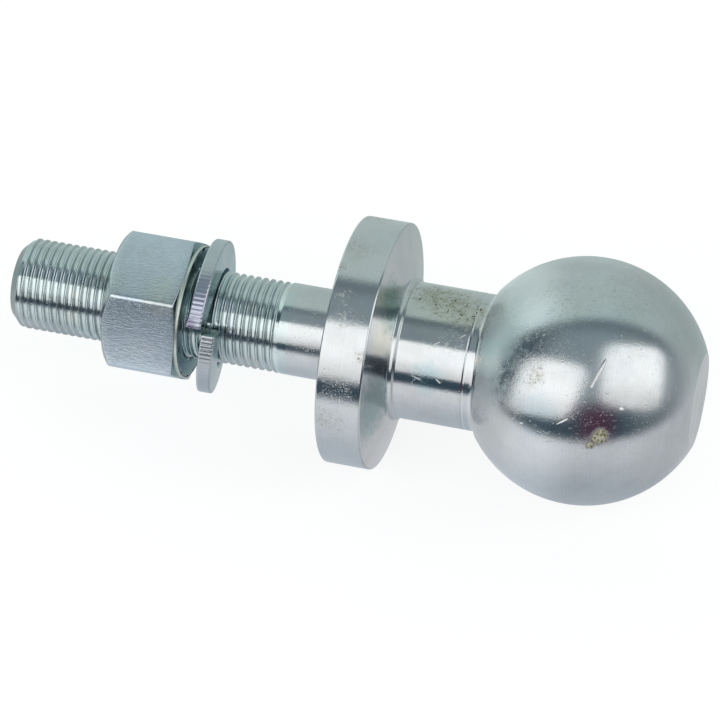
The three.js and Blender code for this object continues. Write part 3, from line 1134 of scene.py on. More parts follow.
@dataclass
class HexNut(Fitting):
    """The hex nut where it stands on the thread: six flats, two chamfers and a tapped bore."""

    name: str = "tow_ball_nut"
    body: str = "nut"
    node: str = "hex_nut"
    slot: str = "nut_zinc"
    apothem: float = 0.5 * 1.125 * INCH
    height: float = 16.3
    bearing_along: float = -32.7
    corner_angle: float = 47.7 * DEGREE
    corner_rounding: float = 0.5
    crown: float = 0.26
    bearing_radius: float = 13.9
    bearing_drop: float = 0.55
    boss_height: float = 0.55
    boss_rounding: float = 0.16
    outer_radius: float = 13.9
    outer_drop: float = 2.1
    clearance: float = 0.2
    countersink: float = 0.5
    edge_rounding: float = 0.12

    def angles(self) -> np.ndarray:
        """The columns' angles: close together at the six corners, even between them.

        Returns:
            The angles in radians.
        """
        corner = [-2.0, -1.2, -0.6, 0.0, 0.6, 1.2, 2.0]
        between = np.linspace(2.0, 58.0, 15)[1:-1].tolist()
        sextant = np.array(corner + between) * DEGREE
        return np.concatenate([self.corner_angle + sextant + side * TURN / 6.0 for side in range(6)])

    def hex_radius(self, angles: np.ndarray) -> np.ndarray:
        """The flats' distance from the axis, with the corners a little rounded and the flats crowned.

        Args:
            angles: the columns' angles, in radians.

        Returns:
            The distances in mm.
        """
        sixth = TURN / 6.0
        from_flat = np.mod(angles - self.corner_angle, sixth) - sixth / 2.0
        bulge = self.crown * (np.tan(from_flat) / math.tan(sixth / 2.0)) ** 2
        flat = (self.apothem - bulge) / np.cos(from_flat)
        across = np.abs(np.abs(from_flat) - sixth / 2.0) * self.corner_radius
        shave = np.clip(1.0 - across / self.corner_rounding, 0.0, 1.0) ** 2
        return flat - shave * self.corner_rounding * 0.28

    @property
    def corner_radius(self) -> float:
        """The sharp corners' distance from the axis."""
        return self.apothem / math.cos(TURN / 12.0)

    @property
    def outer_along(self) -> float:
        """Where the outer face is along the axis."""
        return self.bearing_along - self.height

    def sides(self, flats: np.ndarray, mouth: float) -> List[NutRow]:
        """Rows over the outer face, its chamfer, the six flats and the chamfer behind the boss.

        Args:
            flats: the flats' distance from the axis, by column.
            mouth: the bore's radius at the outer face.

        Returns:
            The rows, from the bore's outer mouth to the boss.
        """
        outer = self.outer_along
        boss = self.bearing_along - self.boss_height
        edge = self.edge_rounding
        outer_slope = self.outer_drop / (self.corner_radius - self.outer_radius)
        bearing_slope = self.bearing_drop / (self.corner_radius - self.bearing_radius)
        low = outer + outer_slope * (flats - self.outer_radius)
        high = boss - bearing_slope * (flats - self.bearing_radius)
        face_radii = (mouth + 0.05, mouth + 1.3, mouth + 2.5, self.outer_radius - 0.1)
        rows: List[NutRow] = [(radius, outer, NutBand.CHAMFERS) for radius in face_radii]
        for share in (0.04, 0.35, 0.7):
            reach = (flats - self.outer_radius) * share
            rows.append((self.outer_radius + reach, outer + outer_slope * reach, NutBand.CHAMFERS))
        rows.append((flats - 1.6 * edge, low - 1.6 * edge * outer_slope, NutBand.CHAMFERS))
        rows.append((flats - 0.7 * edge, low - 0.1 * edge, NutBand.FLATS))
        rows.append((flats - 0.15 * edge, low + 0.7 * edge, NutBand.FLATS))
        rows.append((flats, low + 1.8 * edge, NutBand.FLATS))
        for share in (0.1, 0.2, 0.35, 0.5, 0.65, 0.8, 0.9):
            rows.append((flats, low + (high - low) * share, NutBand.FLATS))
        rows.append((flats, high - 1.8 * edge, NutBand.FLATS))
        rows.append((flats - 0.15 * edge, high - 0.8 * edge, NutBand.FLATS))
        rows.append((flats - 0.8 * edge, high + 0.1 * edge, NutBand.FLATS))
        rows.append((flats - 1.8 * edge, high + 1.8 * edge * bearing_slope, NutBand.CHAMFERS))
        for share in (0.6, 0.3):
            reach = (flats - self.bearing_radius) * share
            rows.append((self.bearing_radius + reach, boss - bearing_slope * reach, NutBand.CHAMFERS))
        return rows

    def bearing(self, mouth: float) -> List[NutRow]:
        """Rows over the boss and its bearing face.

        Args:
            mouth: the bore's radius at the bearing face.

        Returns:
            The rows, from the boss's foot to the bore's mouth.
        """
        boss = self.bearing_along - self.boss_height
        rim = rounded_outline(
            [
                (self.bearing_radius + 0.1, boss, 0.0),
                (self.bearing_radius - 0.05, boss, 0.05),
                (self.bearing_radius - 0.1, self.bearing_along, self.boss_rounding),
                (self.bearing_radius - 0.6, self.bearing_along, 0.0),
            ],
            guard=0.02,
        )
        rows: List[NutRow] = [(radius, along, NutBand.BOSS) for radius, along in rim[:-1]]
        for share in (0.96, 0.75, 0.5, 0.25, 0.02):
            radius = mouth + (self.bearing_radius - mouth) * share
            rows.append((radius, self.bearing_along, NutBand.BEARING))
        return rows

    def bore(self, thread: ThreadForm, angles: np.ndarray, mouth: float) -> Tuple[np.ndarray, np.ndarray]:
        """The tapped bore with a countersink at both mouths.

        Args:
            thread: the stud's thread.
            angles: the columns' angles, in radians.
            mouth: the countersinks' radius at the faces.

        Returns:
            The bore's radius and its place along the axis, rows by columns, from the bearing face.
        """
        along = thread.rows(self.outer_along + 0.02, self.bearing_along - 0.02, angles)[::-1]
        spread = np.tile(angles, (len(along), 1))
        tapped = thread.radius(thread.phase(spread, along)) + self.clearance
        sink_high = mouth - (self.bearing_along - along)
        sink_low = mouth - (along - self.outer_along)
        return np.maximum(tapped, np.maximum(sink_high, sink_low)), along

    def skin(self, thread: ThreadForm) -> Skin:
        """The nut's whole surface as one closed ring of rows.

        Args:
            thread: the stud's thread.

        Returns:
            The surface, with the number of a finish for every row.
        """
        angles = self.angles()
        mouth = thread.crest_radius + self.clearance + self.countersink
        rows = self.sides(self.hex_radius(angles), mouth) + self.bearing(mouth)
        tapped, deep = self.bore(thread, angles, mouth)
        radius = np.concatenate([[np.broadcast_to(row[0], angles.shape) for row in rows], tapped])
        along = np.concatenate([[np.broadcast_to(row[1], angles.shape) for row in rows], deep])
        bands = np.array([row[2].value for row in rows] + [NutBand.BORE.value] * len(deep))
        count = len(radius)
        return Skin(radius, along, np.tile(angles, (count, 1)), bands, np.zeros(count, bool))

    def build(
        self, axis: StudAxis, thread: ThreadForm, finishes: Dict[NutBand, ZincFinish]
    ) -> bpy.types.Object:
        """Makes the nut and dresses it.

        Args:
            axis: the stud's axis.
            thread: the stud's thread.
            finishes: a finish for each surface.

        Returns:
            The finished piece.
        """
        skin = self.skin(thread)
        rows, columns = skin.radius.shape
        points = axis.place(skin.radius, skin.angle, skin.along).reshape(-1, 3)
        faces = weave(rows, columns, skin.split_rows, ring=True)
        piece = new_piece(self.name, points, faces, np.repeat(skin.travelled(), columns))
        bands = np.repeat(skin.bands, columns).tolist()
        self.dress(piece, bands, [finishes[band].build(axis) for band in NutBand])
        return piece


# ---------------------------------------------------------------- the split washer


class WasherBand(Enum):
    """The washer's surfaces, each with a finish of its own."""

    RIM = 0
    CUTS = 1
    SIDES = 2


@dataclass
class LockWasher(Fitting):
    """The split spring washer: one left-hand turn of keystone wire that hangs loose on the thread."""

    name: str = "tow_ball_washer"
    body: str = "washer"
    node: str = "lock_washer"
    slot: str = "washer_zinc"
    bore_radius: float = 10.2
    rim_radius: float = 15.95
    rim_thickness: float = 2.9
    bore_thickness: float = 3.9
    rounding: float = 0.4
    rise: float = 3.1
    split_angle: float = 242.7 * DEGREE
    split_gap: float = 4.0 * DEGREE
    along: float = -28.9
    lean: float = 6.0 * DEGREE
    lean_angle: float = 228.7 * DEGREE
    hang: float = 0.25
    steps: int = 900
    ridge_spacing: float = 1.0
    ridge_depth: float = 0.07
    ridge_fade: float = 10.0
    ridge_inset: float = 1.2
    ridge_blend: float = 0.9
    flare: float = 0.4
    flare_length: float = 1.7

    def section(self) -> np.ndarray:
        """The wire's section with rounded edges.

        Returns:
            Its (radius, height) points in order round it.
        """
        rim, bore = self.rim_thickness / 2.0, self.bore_thickness / 2.0
        corners = [
            (self.bore_radius, 0.0, 0.0),
            (self.bore_radius, -bore, self.rounding),
            (self.rim_radius, -rim, self.rounding),
            (self.rim_radius, rim, self.rounding),
            (self.bore_radius, bore, self.rounding),
            (self.bore_radius, 0.0, 0.0),
        ]
        return np.array(with_short_steps(rounded_outline(corners), 1.0)[:-1])

    def ridges(self, from_first: np.ndarray, from_last: np.ndarray) -> np.ndarray:
        """How far the roller's ridges bite into the rim, strongest at the two cut ends.

        Args:
            from_first: distance from the first cut end along the rim, in mm.
            from_last: distance from the last cut end.

        Returns:
            The bite in mm.
        """
        wave = (0.5 + 0.5 * np.cos(TURN * from_first / self.ridge_spacing)) ** 2
        fade = np.exp(-((np.minimum(from_first, from_last) / self.ridge_fade) ** 2))
        return self.ridge_depth * wave * fade

    def wire(self, section: np.ndarray) -> np.ndarray:
        """The wound wire, upright and centred, with its ridges and the flare of its last end.

        Args:
            section: the wire's section.

        Returns:
            Points in mm, rings by section points by three.
        """
        share = np.linspace(0.0, 1.0, self.steps + 1)[:, None]
        turn = self.split_gap / 2.0 + (TURN - self.split_gap) * share
        from_first = (turn - turn[0]) * self.rim_radius
        from_last = (turn[-1] - turn) * self.rim_radius
        inner = self.rim_radius - self.ridge_inset
        on_rim = np.clip((section[:, 0] - inner) / self.ridge_blend, 0.0, 1.0)
        radius = section[:, 0] - on_rim * self.ridges(from_first, from_last)
        nut_side = np.clip(-section[:, 1] / self.rim_thickness * 2.0, 0.0, 1.0)
        flare = self.flare * np.exp(-((from_last / self.flare_length) ** 2)) * nut_side * on_rim
        height = section[:, 1] + self.rise * (0.5 - share) - flare
        return np.stack([radius * np.cos(turn), radius * np.sin(turn), height], axis=-1)

    def hung(self, points: np.ndarray, axis: StudAxis) -> np.ndarray:
        """Leans the washer, hangs it on the thread and lays it down with the stud.

        Args:
            points: points of the upright washer, in mm.
            axis: the stud's axis.

        Returns:
            The points in the frame, in metres.
        """
        lean_axis = Vector((math.sin(self.lean_angle), -math.cos(self.lean_angle), 0.0))
        spin = Matrix.Rotation(self.lean, 3, lean_axis) @ Matrix.Rotation(self.split_angle, 3, "Z")
        hung = points @ np.array(spin).T + np.array([self.hang, 0.0, self.along])
        laid = [axis.seat_x + hung[:, 2], hung[:, 1], axis.height - hung[:, 0]]
        return np.stack(laid, axis=-1) * MM

    def build(self, axis: StudAxis, finishes: Dict[WasherBand, ZincFinish]) -> bpy.types.Object:
        """Makes the washer and dresses it.

        Args:
            axis: the stud's axis.
            finishes: a finish for each surface.

        Returns:
            The finished piece.
        """
        section = self.section()
        wire = self.wire(section)
        rings, count = wire.shape[:2]
        points = np.concatenate([wire.reshape(-1, 3), wire.mean(axis=1)[[0, -1]]])
        faces: List[Face] = []
        for ring in range(rings - 1):
            here = ring * count
            there = here + count
            for i in range(count):
                after = (i + 1) % count
                faces.append((here + i, there + i, there + after, here + after))
        nearer = np.minimum(section[:, 0], np.roll(section[:, 0], -1))
        outer = nearer > self.rim_radius - 0.75 * self.rounding
        around = np.where(outer, WasherBand.RIM.value, WasherBand.SIDES.value)
        faces += fan(rings * count, 0, count, outward=True)
        faces += fan(rings * count + 1, (rings - 1) * count, count, outward=False)
        bands = np.tile(around, rings - 1).tolist() + [WasherBand.CUTS.value] * (2 * count)
        turn = self.split_gap / 2.0 + (TURN - self.split_gap) * np.linspace(0.0, 1.0, rings)
        lay = np.concatenate([np.repeat(turn * self.rim_radius, count), [0.0, 0.0]])
        piece = new_piece(self.name, self.hung(points, axis), faces, lay)
        self.dress(piece, bands, [finishes[band].build(axis) for band in WasherBand])
        return piece


# ---------------------------------------------------------------- the studio


@dataclass(frozen=True)
class CameraRig:
    """The camera: where it looks from, what it looks at and its lens."""

    azimuth: float = 15.358
    elevation: float = 40.298
    distance: float = 808.0
    aim: Tuple[float, float, float] = (1.73, -2.08, 22.40)
    lens: float = 196.07
    sensor: float = 36.0
    clip: Tuple[float, float] = (0.01, 20.0)

    def axes(self) -> Tuple[Vector, Vector, Vector]:
        """The camera's own directions.

        Returns:
            The directions to its right, up and back towards the camera.
        """
        a, e = self.azimuth * DEGREE, self.elevation * DEGREE
        back = Vector((math.sin(a) * math.cos(e), -math.cos(a) * math.cos(e), math.sin(e)))
        right = Vector((math.cos(a), math.sin(a), 0.0))
        return right, back.cross(right), back

    def build(self) -> bpy.types.Object:
        """Makes the camera and makes it the scene's own.

        Returns:
            The camera.
        """
        right, up, back = self.axes()
        camera = bpy.data.objects.new("camera", bpy.data.cameras.new("camera"))
        camera.data.lens = self.lens
        camera.data.sensor_width = self.sensor
        camera.data.clip_start, camera.data.clip_end = self.clip
        place = (Vector(self.aim) + back * self.distance) * MM
        turn = Matrix((right, up, back)).transposed()
        camera.matrix_world = Matrix.Translation(place) @ turn.to_4x4()
        bpy.context.scene.collection.objects.link(camera)
        bpy.context.scene.camera = camera
        return camera


@dataclass(frozen=True)
class SoftBox:
    """A soft box as the metal shows it, in the half-way plane of the studio."""

    centre: Point
    half_width: float
    half_height: float
    tilt: float
    light: float
    low_light: float
    shear: float = 0.0


@dataclass(frozen=True)
class Studio:
    """A white sweep behind and below, a dim room in front, and two soft boxes beside the viewer."""

    rig: CameraRig
    room_width: float = 0.79
    room_high: float = 0.5
    room_low: float = 0.49
    upper: Colour = (0.50, 0.585, 0.575)
    lower_near: Colour = (0.69, 0.71, 0.735)
    lower_far: Colour = (0.46, 0.50, 0.55)
    room: Colour = (0.26, 0.32, 0.35)
    room_right: Colour = (0.40, 0.45, 0.46)
    room_edge: Colour = (0.15, 0.19, 0.215)
    room_foot: Colour = (0.045, 0.075, 0.10)
    maroon: Colour = (0.085, 0.035, 0.07)
    boxes: Tuple[SoftBox, ...] = (
        SoftBox((-0.335, -0.06), 0.26, 0.235, -10.0, 1.3, 0.85, shear=0.22),
        SoftBox((0.34, 0.03), 0.25, 0.25, -6.0, 1.3, 0.85),
    )
    bright_spot: Corner = (-0.36, 0.5, 0.0)
    backdrop: float = 0.985
    floor_glow: float = 0.82
    floor_paper: float = 0.32
    floor_half: float = 6.0

    def floor(self) -> bpy.types.Object:
        """The pale floor that the part lies on.

        Returns:
            The floor, in metres.
        """
        mesh = bpy.data.meshes.new("floor")
        half = self.floor_half
        corners = [(-half, -half, 0.0), (half, -half, 0.0), (half, half, 0.0), (-half, half, 0.0)]
        mesh.from_pydata(corners, [], [(0, 1, 2, 3)])
        floor = bpy.data.objects.new("floor", mesh)
        bpy.context.scene.collection.objects.link(floor)
        material = bpy.data.materials.new("floor_paper")
        material.use_nodes = True
        graph = Graph(material.node_tree)
        shader = graph.add(
            "ShaderNodeBsdfPrincipled",
            {
                "Base Color": (self.floor_paper,) * 3,
                "Roughness": 0.9,
                "Specular IOR Level": 0.0,
                "Emission Color": (1.0, 1.0, 1.0),
                "Emission Strength": self.floor_glow,
            },
        )
        graph.add("ShaderNodeOutputMaterial", {"Surface": shader.outputs[0]})
        mesh.materials.append(material)
        floor.visible_glossy = False
        return floor

    def with_box(self, graph: Graph, colour: Socket, across: Socket, up: Socket, box: SoftBox) -> Socket:
        """Lays a soft box over the surroundings.

        Args:
            graph: the world's graph.
            colour: the surroundings so far.
            across: the half-way direction's part to the right.
            up: its part upwards.
            box: the soft box.

        Returns:
            The surroundings with the box.
        """
        cos, sin = math.cos(box.tilt * DEGREE), math.sin(box.tilt * DEGREE)
        x = graph.math("SUBTRACT", across, box.centre[0])
        y = graph.math("SUBTRACT", up, box.centre[1])
        u = graph.math("ADD", graph.times(x, cos), graph.times(y, sin))
        v = graph.math("SUBTRACT", graph.times(y, cos), graph.times(x, sin))
        u = graph.math("SUBTRACT", u, graph.times(v, box.shear))
        light = graph.ramp(v, -box.half_height, 0.15 * box.half_height, box.low_light, box.light)
        u = self.share_to_power(graph, u, box.half_width, 5.0)
        v = self.share_to_power(graph, v, box.half_height, 5.0)
        mask = graph.ramp(graph.math("ADD", u, v), 0.6, 1.25, 1.0, 0.0)
        return graph.mix(mask, colour, light)

    def share_to_power(self, graph: Graph, place: Socket, half: Value, power: float) -> Socket:
        """How far out a place is, as a share of a half-width raised to a power."""
        share = graph.math("ABSOLUTE", graph.math("DIVIDE", place, half))
        return graph.math("POWER", share, power)

    def tent(self, graph: Graph, across: Socket, up: Socket) -> Socket:
        """The white sweep: brighter to the left and close under the room's edge.

        Args:
            graph: the world's graph.
            across: the half-way direction's part to the right.
            up: its part upwards.

        Returns:
            The sweep's colour.
        """
        low = graph.mix(graph.ramp(up, -0.9, -0.5), self.lower_far, self.lower_near)
        colour = graph.mix(graph.ramp(up, -0.25, 0.3), low, self.upper)
        left = graph.ramp(across, -0.05, -0.4, 1.0, 1.28)
        far_left = graph.ramp(across, -0.5, -0.8, 1.0, 0.7)
        right = graph.ramp(across, 0.2, 0.75, 1.0, 0.84)
        spot = graph.add("ShaderNodeCombineXYZ", {"X": across, "Y": up}).outputs[0]
        spot = graph.vector("DISTANCE", spot, self.bright_spot)
        spot = graph.ramp(spot, 0.05, 0.3, 1.2, 1.0)
        light = graph.times(graph.times(graph.times(left, far_left), spot), right)
        return graph.tinted(colour, light)

    def dim_room(self, graph: Graph, across: Socket, up: Socket, reach: Socket) -> Socket:
        """The dim room in front: darkest along its edge and at its foot.

        Args:
            graph: the world's graph.
            across: the half-way direction's part to the right.
            up: its part upwards.
            reach: 0 in the middle of the room and 1 at its edge.

        Returns:
            The room's colour.
        """
        inside = graph.mix(graph.ramp(across, 0.3, 0.6), self.room, self.room_right)
        edge = graph.times(graph.ramp(reach, 0.45, 0.85), graph.ramp(across, 0.85, 0.5))
        colour = graph.mix(edge, inside, self.room_edge)
        colour = graph.mix(graph.ramp(across, -0.2, -0.5), colour, self.room_foot)
        foot = graph.times(graph.ramp(up, -0.1, -0.3), graph.ramp(across, 0.55, 0.2, 0.25, 1.0))
        colour = graph.mix(foot, colour, self.room_foot)
        middle = graph.math("ABSOLUTE", graph.math("SUBTRACT", across, 0.06))
        middle = graph.ramp(middle, 0.05, 0.2, 1.0, 0.0)
        stained = graph.times(middle, graph.ramp(up, -0.12, -0.28))
        return graph.mix(stained, colour, self.maroon)

    def light(self) -> bpy.types.World:
        """The surroundings by direction, as the metal reflects them.

        A direction is named by the one half-way between it and the way back to the viewer's usual place.

        Returns:
            The world.
        """
        world = bpy.data.worlds.new("studio")
        bpy.context.scene.world = world
        world.use_nodes = True
        graph = Graph(world.node_tree)
        right, up_axis, back = self.rig.axes()
        ray = graph.add("ShaderNodeTexCoord", {}).outputs["Generated"]
        half = graph.vector("ADD", graph.vector("NORMALIZE", ray), tuple(back))
        half = graph.vector("NORMALIZE", half)
        across = graph.vector("DOT_PRODUCT", half, tuple(right))
        up = graph.vector("DOT_PRODUCT", half, tuple(up_axis))
        height = graph.ramp(up, -0.05, 0.05, self.room_low, self.room_high)
        wide = self.share_to_power(graph, across, self.room_width, 2.0)
        tall = self.share_to_power(graph, up, height, 2.0)
        reach = graph.math("ADD", wide, tall)
        inside = graph.ramp(reach, 0.84, 1.12, 1.0, 0.0)
        room = self.dim_room(graph, across, up, reach)
        colour = graph.mix(inside, self.tent(graph, across, up), room)
        for box in self.boxes:
            colour = self.with_box(graph, colour, across, up, box)
        seen = graph.add("ShaderNodeLightPath", {}).outputs["Is Camera Ray"]
        colour = graph.mix(seen, colour, (self.backdrop,) * 3)
        background = graph.add("ShaderNodeBackground", {"Color": colour, "Strength": 1.0})
        graph.add("ShaderNodeOutputWorld", {"Surface": background.outputs[0]})
        return world

    def build(self) -> None:
        """Makes the floor and the light."""
        self.floor()
        self.light()
        bpy.context.scene.view_settings.view_transform = "Standard"
        bpy.context.scene.view_settings.look = "None"


# ---------------------------------------------------------------- the whole part


# what a finish leaves out on a surface that no tool has turned
UNTURNED = {"anisotropy": 0.0, "line_depth": 0.0, "line_shade": 0.0}


def neck_marks(neck: float) -> Tuple[Mark, ...]:
    """The marks on the neck.

    Args:
        neck: the neck's radius.

    Returns:
        The marks.
    """
    return (
        Mark(MarkKind.SPECKS, 171.0, 16.0, neck, 5.5, 0.8),
        Mark(MarkKind.SPECKS, 176.0, 20.5, neck, 7.0),
        Mark(MarkKind.SPECKS, 185.0, 26.0, neck, 6.5, 0.9),
        Mark(MarkKind.TINT, 185.0, 21.0, neck, 12.0, 0.6, colour=(0.93, 0.95, 0.84)),
        Mark(MarkKind.TINT, 251.0, 20.0, neck, 5.0, 0.8, colour=(0.75, 0.95, 1.0)),
        Mark(MarkKind.TINT, 272.0, 18.0, neck, 9.0, 0.8, colour=(1.0, 0.96, 0.95)),
        Mark(MarkKind.FROST, 215.0, 22.0, neck, 10.0, 0.35),
        Mark(MarkKind.FROST, 250.0, 19.0, neck, 4.5, 0.3),
        Mark(MarkKind.SCRATCH, 221.5, 20.4, neck, 0.15, 0.8, (218.8, 21.6)),
        Mark(MarkKind.SCRATCH, 213.0, 25.2, neck, 0.14, 0.7, (209.0, 26.4)),
        Mark(MarkKind.SCRATCH, 249.3, 22.0, neck, 0.16, 0.8, (251.9, 22.9)),
        Mark(MarkKind.SCRATCH, 250.2, 17.2, neck, 0.16, 0.7, (252.0, 18.6)),
        Mark(MarkKind.SMEAR, 214.0, 24.0, neck, 4.5, 0.7),
        Mark(MarkKind.SMEAR, 250.0, 18.0, neck, 2.5, 0.7),
    )


def rim_marks(rim: float) -> Tuple[Mark, ...]:
    """The marks on the collar's rim.

    Args:
        rim: the rim's radius.

    Returns:
        The marks.
    """
    return (
        Mark(MarkKind.SPECKS, 149.0, 3.0, rim, 5.0, 0.7),
        Mark(MarkKind.SPECKS, 184.0, 2.0, rim, 4.5, 0.35),
        Mark(MarkKind.SPECKS, 196.0, 0.4, rim, 1.6, 0.9),
        Mark(MarkKind.SPECKS, 235.9, 8.8, rim, 1.8, 0.9),
        Mark(MarkKind.SPECKS, 270.0, 3.2, rim, 4.5, 0.5),
        Mark(MarkKind.FROST, 253.5, 4.5, rim, 7.0, 0.9),
        Mark(MarkKind.FROST, 213.0, 4.5, rim, 9.0, 0.4),
        Mark(MarkKind.FROST, 225.0, 4.0, rim, 8.0, 0.2),
        Mark(MarkKind.SMEAR, 210.8, 2.6, rim, 2.6, 0.9),
        Mark(MarkKind.SMEAR, 220.3, 4.0, rim, 3.4, 0.6),
    )


def cone_marks_and_painted_reflections() -> Tuple[Mark, ...]:
    """The marks on the cone between the collar's rim and the neck, and painted reflection bands.

    Returns:
        The marks, each at the cone's own radius where it lies.
    """
    return (
        # painted reflection bands: teal tints darken the cone at 203 and 266 degrees and a warm tint over
        # 1 brightens it at 228 degrees
        Mark(MarkKind.TINT, 203.0, 10.9, 18.0, 7.5, 0.95, colour=(0.48, 0.66, 0.64)),
        Mark(MarkKind.TINT, 228.0, 10.9, 19.0, 6.0, 0.8, colour=(1.2, 1.16, 0.98)),
        Mark(MarkKind.TINT, 266.0, 10.6, 20.0, 13.0, 1.0, colour=(0.46, 0.6, 0.6)),
        Mark(MarkKind.FROST, 208.0, 10.9, 18.0, 7.0, 0.2),
        Mark(MarkKind.SPECKS, 238.0, 11.8, 15.0, 2.0, 0.6),
    )


def ball_marks(stud: BallStud) -> Tuple[Mark, ...]:
    """The marks on the ball.

    Args:
        stud: the stud, whose ball they lie on.

    Returns:
        The marks, each at the ball's own radius where it lies.
    """
    return (
        stud.ball_mark(MarkKind.TINT, 197.0, 55.0, 16.0, 0.6, (0.9, 0.98, 0.98)),
        stud.ball_mark(MarkKind.TINT, 248.5, 45.0, 6.0, 0.8, (0.8, 0.94, 1.0)),
        stud.ball_mark(MarkKind.TINT, 246.0, 56.5, 6.5, 0.6, (0.9, 0.72, 0.8)),
        stud.ball_mark(MarkKind.TINT, 228.0, 35.0, 10.0, 0.9, (0.9, 1.03, 1.04)),
        stud.ball_mark(MarkKind.FROST, 215.0, 45.5, 9.0, 0.8),
        stud.ball_mark(MarkKind.FROST, 228.0, 41.5, 5.0, 0.8),
        stud.ball_mark(MarkKind.FROST, 240.0, 38.0, 7.0, 0.6),
        stud.ball_mark(MarkKind.FROST, 243.0, 56.0, 8.0, 0.6),
        stud.ball_mark(MarkKind.FROST, 245.0, 66.0, 8.0, 0.45),
        Mark(MarkKind.SCRATCH, 217.3, 57.2, stud.ball_radius_at(56.3), 0.4, 1.0, (231.1, 55.1)),
        Mark(MarkKind.SCRATCH, 239.2, 60.3, stud.ball_radius_at(61.4), 0.32, 1.0, (239.9, 62.5)),
        Mark(MarkKind.SCRATCH, 250.7, 49.5, stud.ball_radius_at(50.4), 0.2, 0.9, (247.6, 51.3)),
        Mark(MarkKind.SCRATCH, 255.2, 41.4, stud.ball_radius_at(42.0), 0.18, 0.8, (254.6, 42.6)),
        stud.ball_mark(MarkKind.SPECKS, 231.1, 43.7, 3.0, 0.8),
        stud.ball_mark(MarkKind.SPECKS, 190.0, 47.0, 9.0, 0.22),
        stud.ball_mark(MarkKind.SPECKS, 178.0, 58.0, 9.0, 0.2),
        stud.ball_mark(MarkKind.MATTE, 214.0, 33.5, 10.0, 0.7),
        stud.ball_mark(MarkKind.MATTE, 246.0, 32.5, 9.0, 0.8),
        stud.ball_mark(MarkKind.TINT, 206.0, 34.0, 10.0, 0.7, (0.92, 1.02, 1.0)),
        stud.ball_mark(MarkKind.CRUST, 254.6, 57.9, 2.6),
        stud.ball_mark(MarkKind.CRUST, 259.0, 56.3, 1.5, 0.8),
    )


def stud_finishes(stud: BallStud) -> Dict[StudBand, ZincFinish]:
    """The stud's finishes, stretch by stretch.

    Args:
        stud: the stud, whose radii the marks lie at.

    Returns:
        A finish for each stretch.
    """
    shank_marks = (
        Mark(MarkKind.FROST, 213.0, -4.0, stud.shank_radius, 11.0, 0.4),
        Mark(MarkKind.FROST, 256.0, -6.0, stud.shank_radius, 6.0, 0.6),
    )
    return {
        StudBand.END: ZincFinish("stud_end_zinc", roughness=0.3),
        StudBand.THREAD: ZincFinish(
            "thread_zinc",
            colour=(0.68, 0.77, 0.77),
            roughness=0.14,
            grain_depth=0.006,
            cloud=0.18,
            rainbow=0.25,
            # painted shade on the flanks: the flank facing the thread's end is darkened most
            painted_flank_shade=(0.68, 0.95),
            **UNTURNED,
        ),
        StudBand.SHANK: ZincFinish("shank_zinc", roughness=0.21, line_shade=0.02, marks=shank_marks),
        StudBand.COLLAR: ZincFinish(
            "collar_zinc",
            roughness=0.15,
            nicks=0.2,
            marks=rim_marks(stud.collar_radius),
        ),
        StudBand.CONE: ZincFinish(
            "cone_zinc",
            colour=(0.76, 0.76, 0.77),
            roughness=0.16,
            rainbow=0.3,
            marks=cone_marks_and_painted_reflections(),
        ),
        StudBand.NECK: ZincFinish(
            "neck_zinc",
            roughness=0.12,
            nicks=0.2,
            marks=neck_marks(stud.neck_radius),
        ),
        StudBand.BALL: ZincFinish(
            "ball_zinc",
            roughness=0.18,
            anisotropy=0.4,
            nicks=0.45,
            marks=ball_marks(stud),
        ),
    }


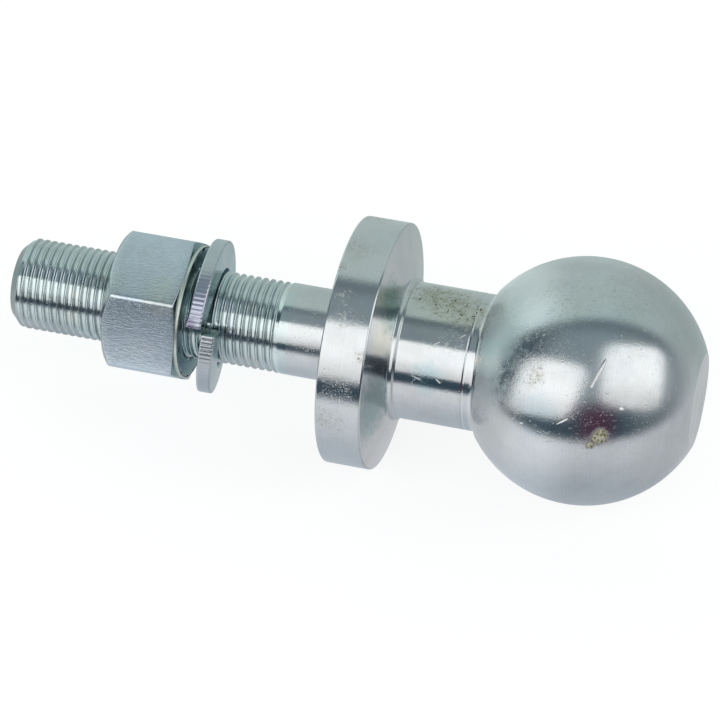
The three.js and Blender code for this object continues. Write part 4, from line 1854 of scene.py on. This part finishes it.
def nut_finishes(nut: HexNut) -> Dict[NutBand, ZincFinish]:
    """The nut's finishes.

    Args:
        nut: the nut, whose flats the marks lie on.

    Returns:
        A finish for each surface.
    """
    face = nut.apothem + 1.0
    marks = (
        Mark(MarkKind.TINT, 221.0, -36.5, face, 6.0, 0.7, colour=(1.04, 0.98, 0.84)),
        Mark(MarkKind.TINT, 219.0, -47.5, face, 5.0, 0.6, colour=(1.02, 0.98, 0.88)),
        Mark(MarkKind.SPECKS, 210.5, -42.0, face, 0.7, 0.9),
    )
    flats = ZincFinish(
        "nut_flat_zinc",
        colour=(0.68, 0.77, 0.84),
        roughness=0.23,
        streak_depth=0.055,
        nicks=0.1,
        marks=marks,
        **UNTURNED,
    )
    finishes = {NutBand.FLATS: flats}
    for band, name, colour, roughness in (
        (NutBand.CHAMFERS, "nut_chamfer_zinc", (0.52, 0.60, 0.60), 0.24),
        (NutBand.BORE, "nut_bore_zinc", (0.5, 0.62, 0.63), 0.25),
        (NutBand.BOSS, "nut_boss_zinc", (0.84, 0.88, 0.8), 0.32),
        # painted shade: the bearing face, between the nut and the washer, is coloured dark teal for the
        # shade there
        (NutBand.BEARING, "nut_bearing_painted_shade", (0.20, 0.36, 0.39), 0.26),
    ):
        finishes[band] = ZincFinish(name, colour=colour, roughness=roughness, **UNTURNED)
    return finishes


def washer_finishes(washer: LockWasher) -> Dict[WasherBand, ZincFinish]:
    """The washer's finishes.

    Args:
        washer: the washer, whose rim the marks lie on.

    Returns:
        A finish for each surface.
    """
    rim = washer.rim_radius
    marks = (
        Mark(MarkKind.TINT, 222.0, washer.along - 1.0, rim, 9.0, 0.8, colour=(0.90, 0.84, 0.98)),
        Mark(MarkKind.TINT, 239.0, washer.along - 1.5, rim, 2.6, 0.9, colour=(0.60, 0.53, 0.66)),
        Mark(MarkKind.FROST, 239.0, washer.along - 1.5, rim, 2.6, 0.8),
    )
    edge = ZincFinish(
        "washer_rim_zinc",
        colour=(0.62, 0.67, 0.71),
        roughness=0.27,
        marks=marks,
        **UNTURNED,
    )
    cut = ZincFinish(
        "washer_cut_zinc",
        colour=(0.22, 0.33, 0.33),
        roughness=0.35,
        anisotropy=0.0,
        grain_depth=0.03,
    )
    sides = ZincFinish(
        "washer_side_zinc",
        colour=(0.47, 0.62, 0.66),
        roughness=0.22,
        anisotropy=0.0,
        rainbow=0.3,
    )
    return {WasherBand.RIM: edge, WasherBand.CUTS: cut, WasherBand.SIDES: sides}


def main() -> None:
    """Builds the camera, the studio and the three pieces in order."""
    logging.basicConfig(level=logging.INFO, format="%(name)s: %(message)s")
    rig = CameraRig()
    rig.build()
    Studio(rig).build()
    stud = BallStud()
    thread = ThreadForm()
    axis = StudAxis.from_frame(stud.ball_top)
    nut = HexNut()
    washer = LockWasher()
    pieces = (
        stud.build(axis, thread, stud_finishes(stud)),
        nut.build(axis, thread, nut_finishes(nut)),
        washer.build(axis, washer_finishes(washer)),
    )
    for piece in pieces:
        LOG.info("%s: %d faces", piece.name, len(piece.data.polygons))


if __name__ == "__main__":
    main()
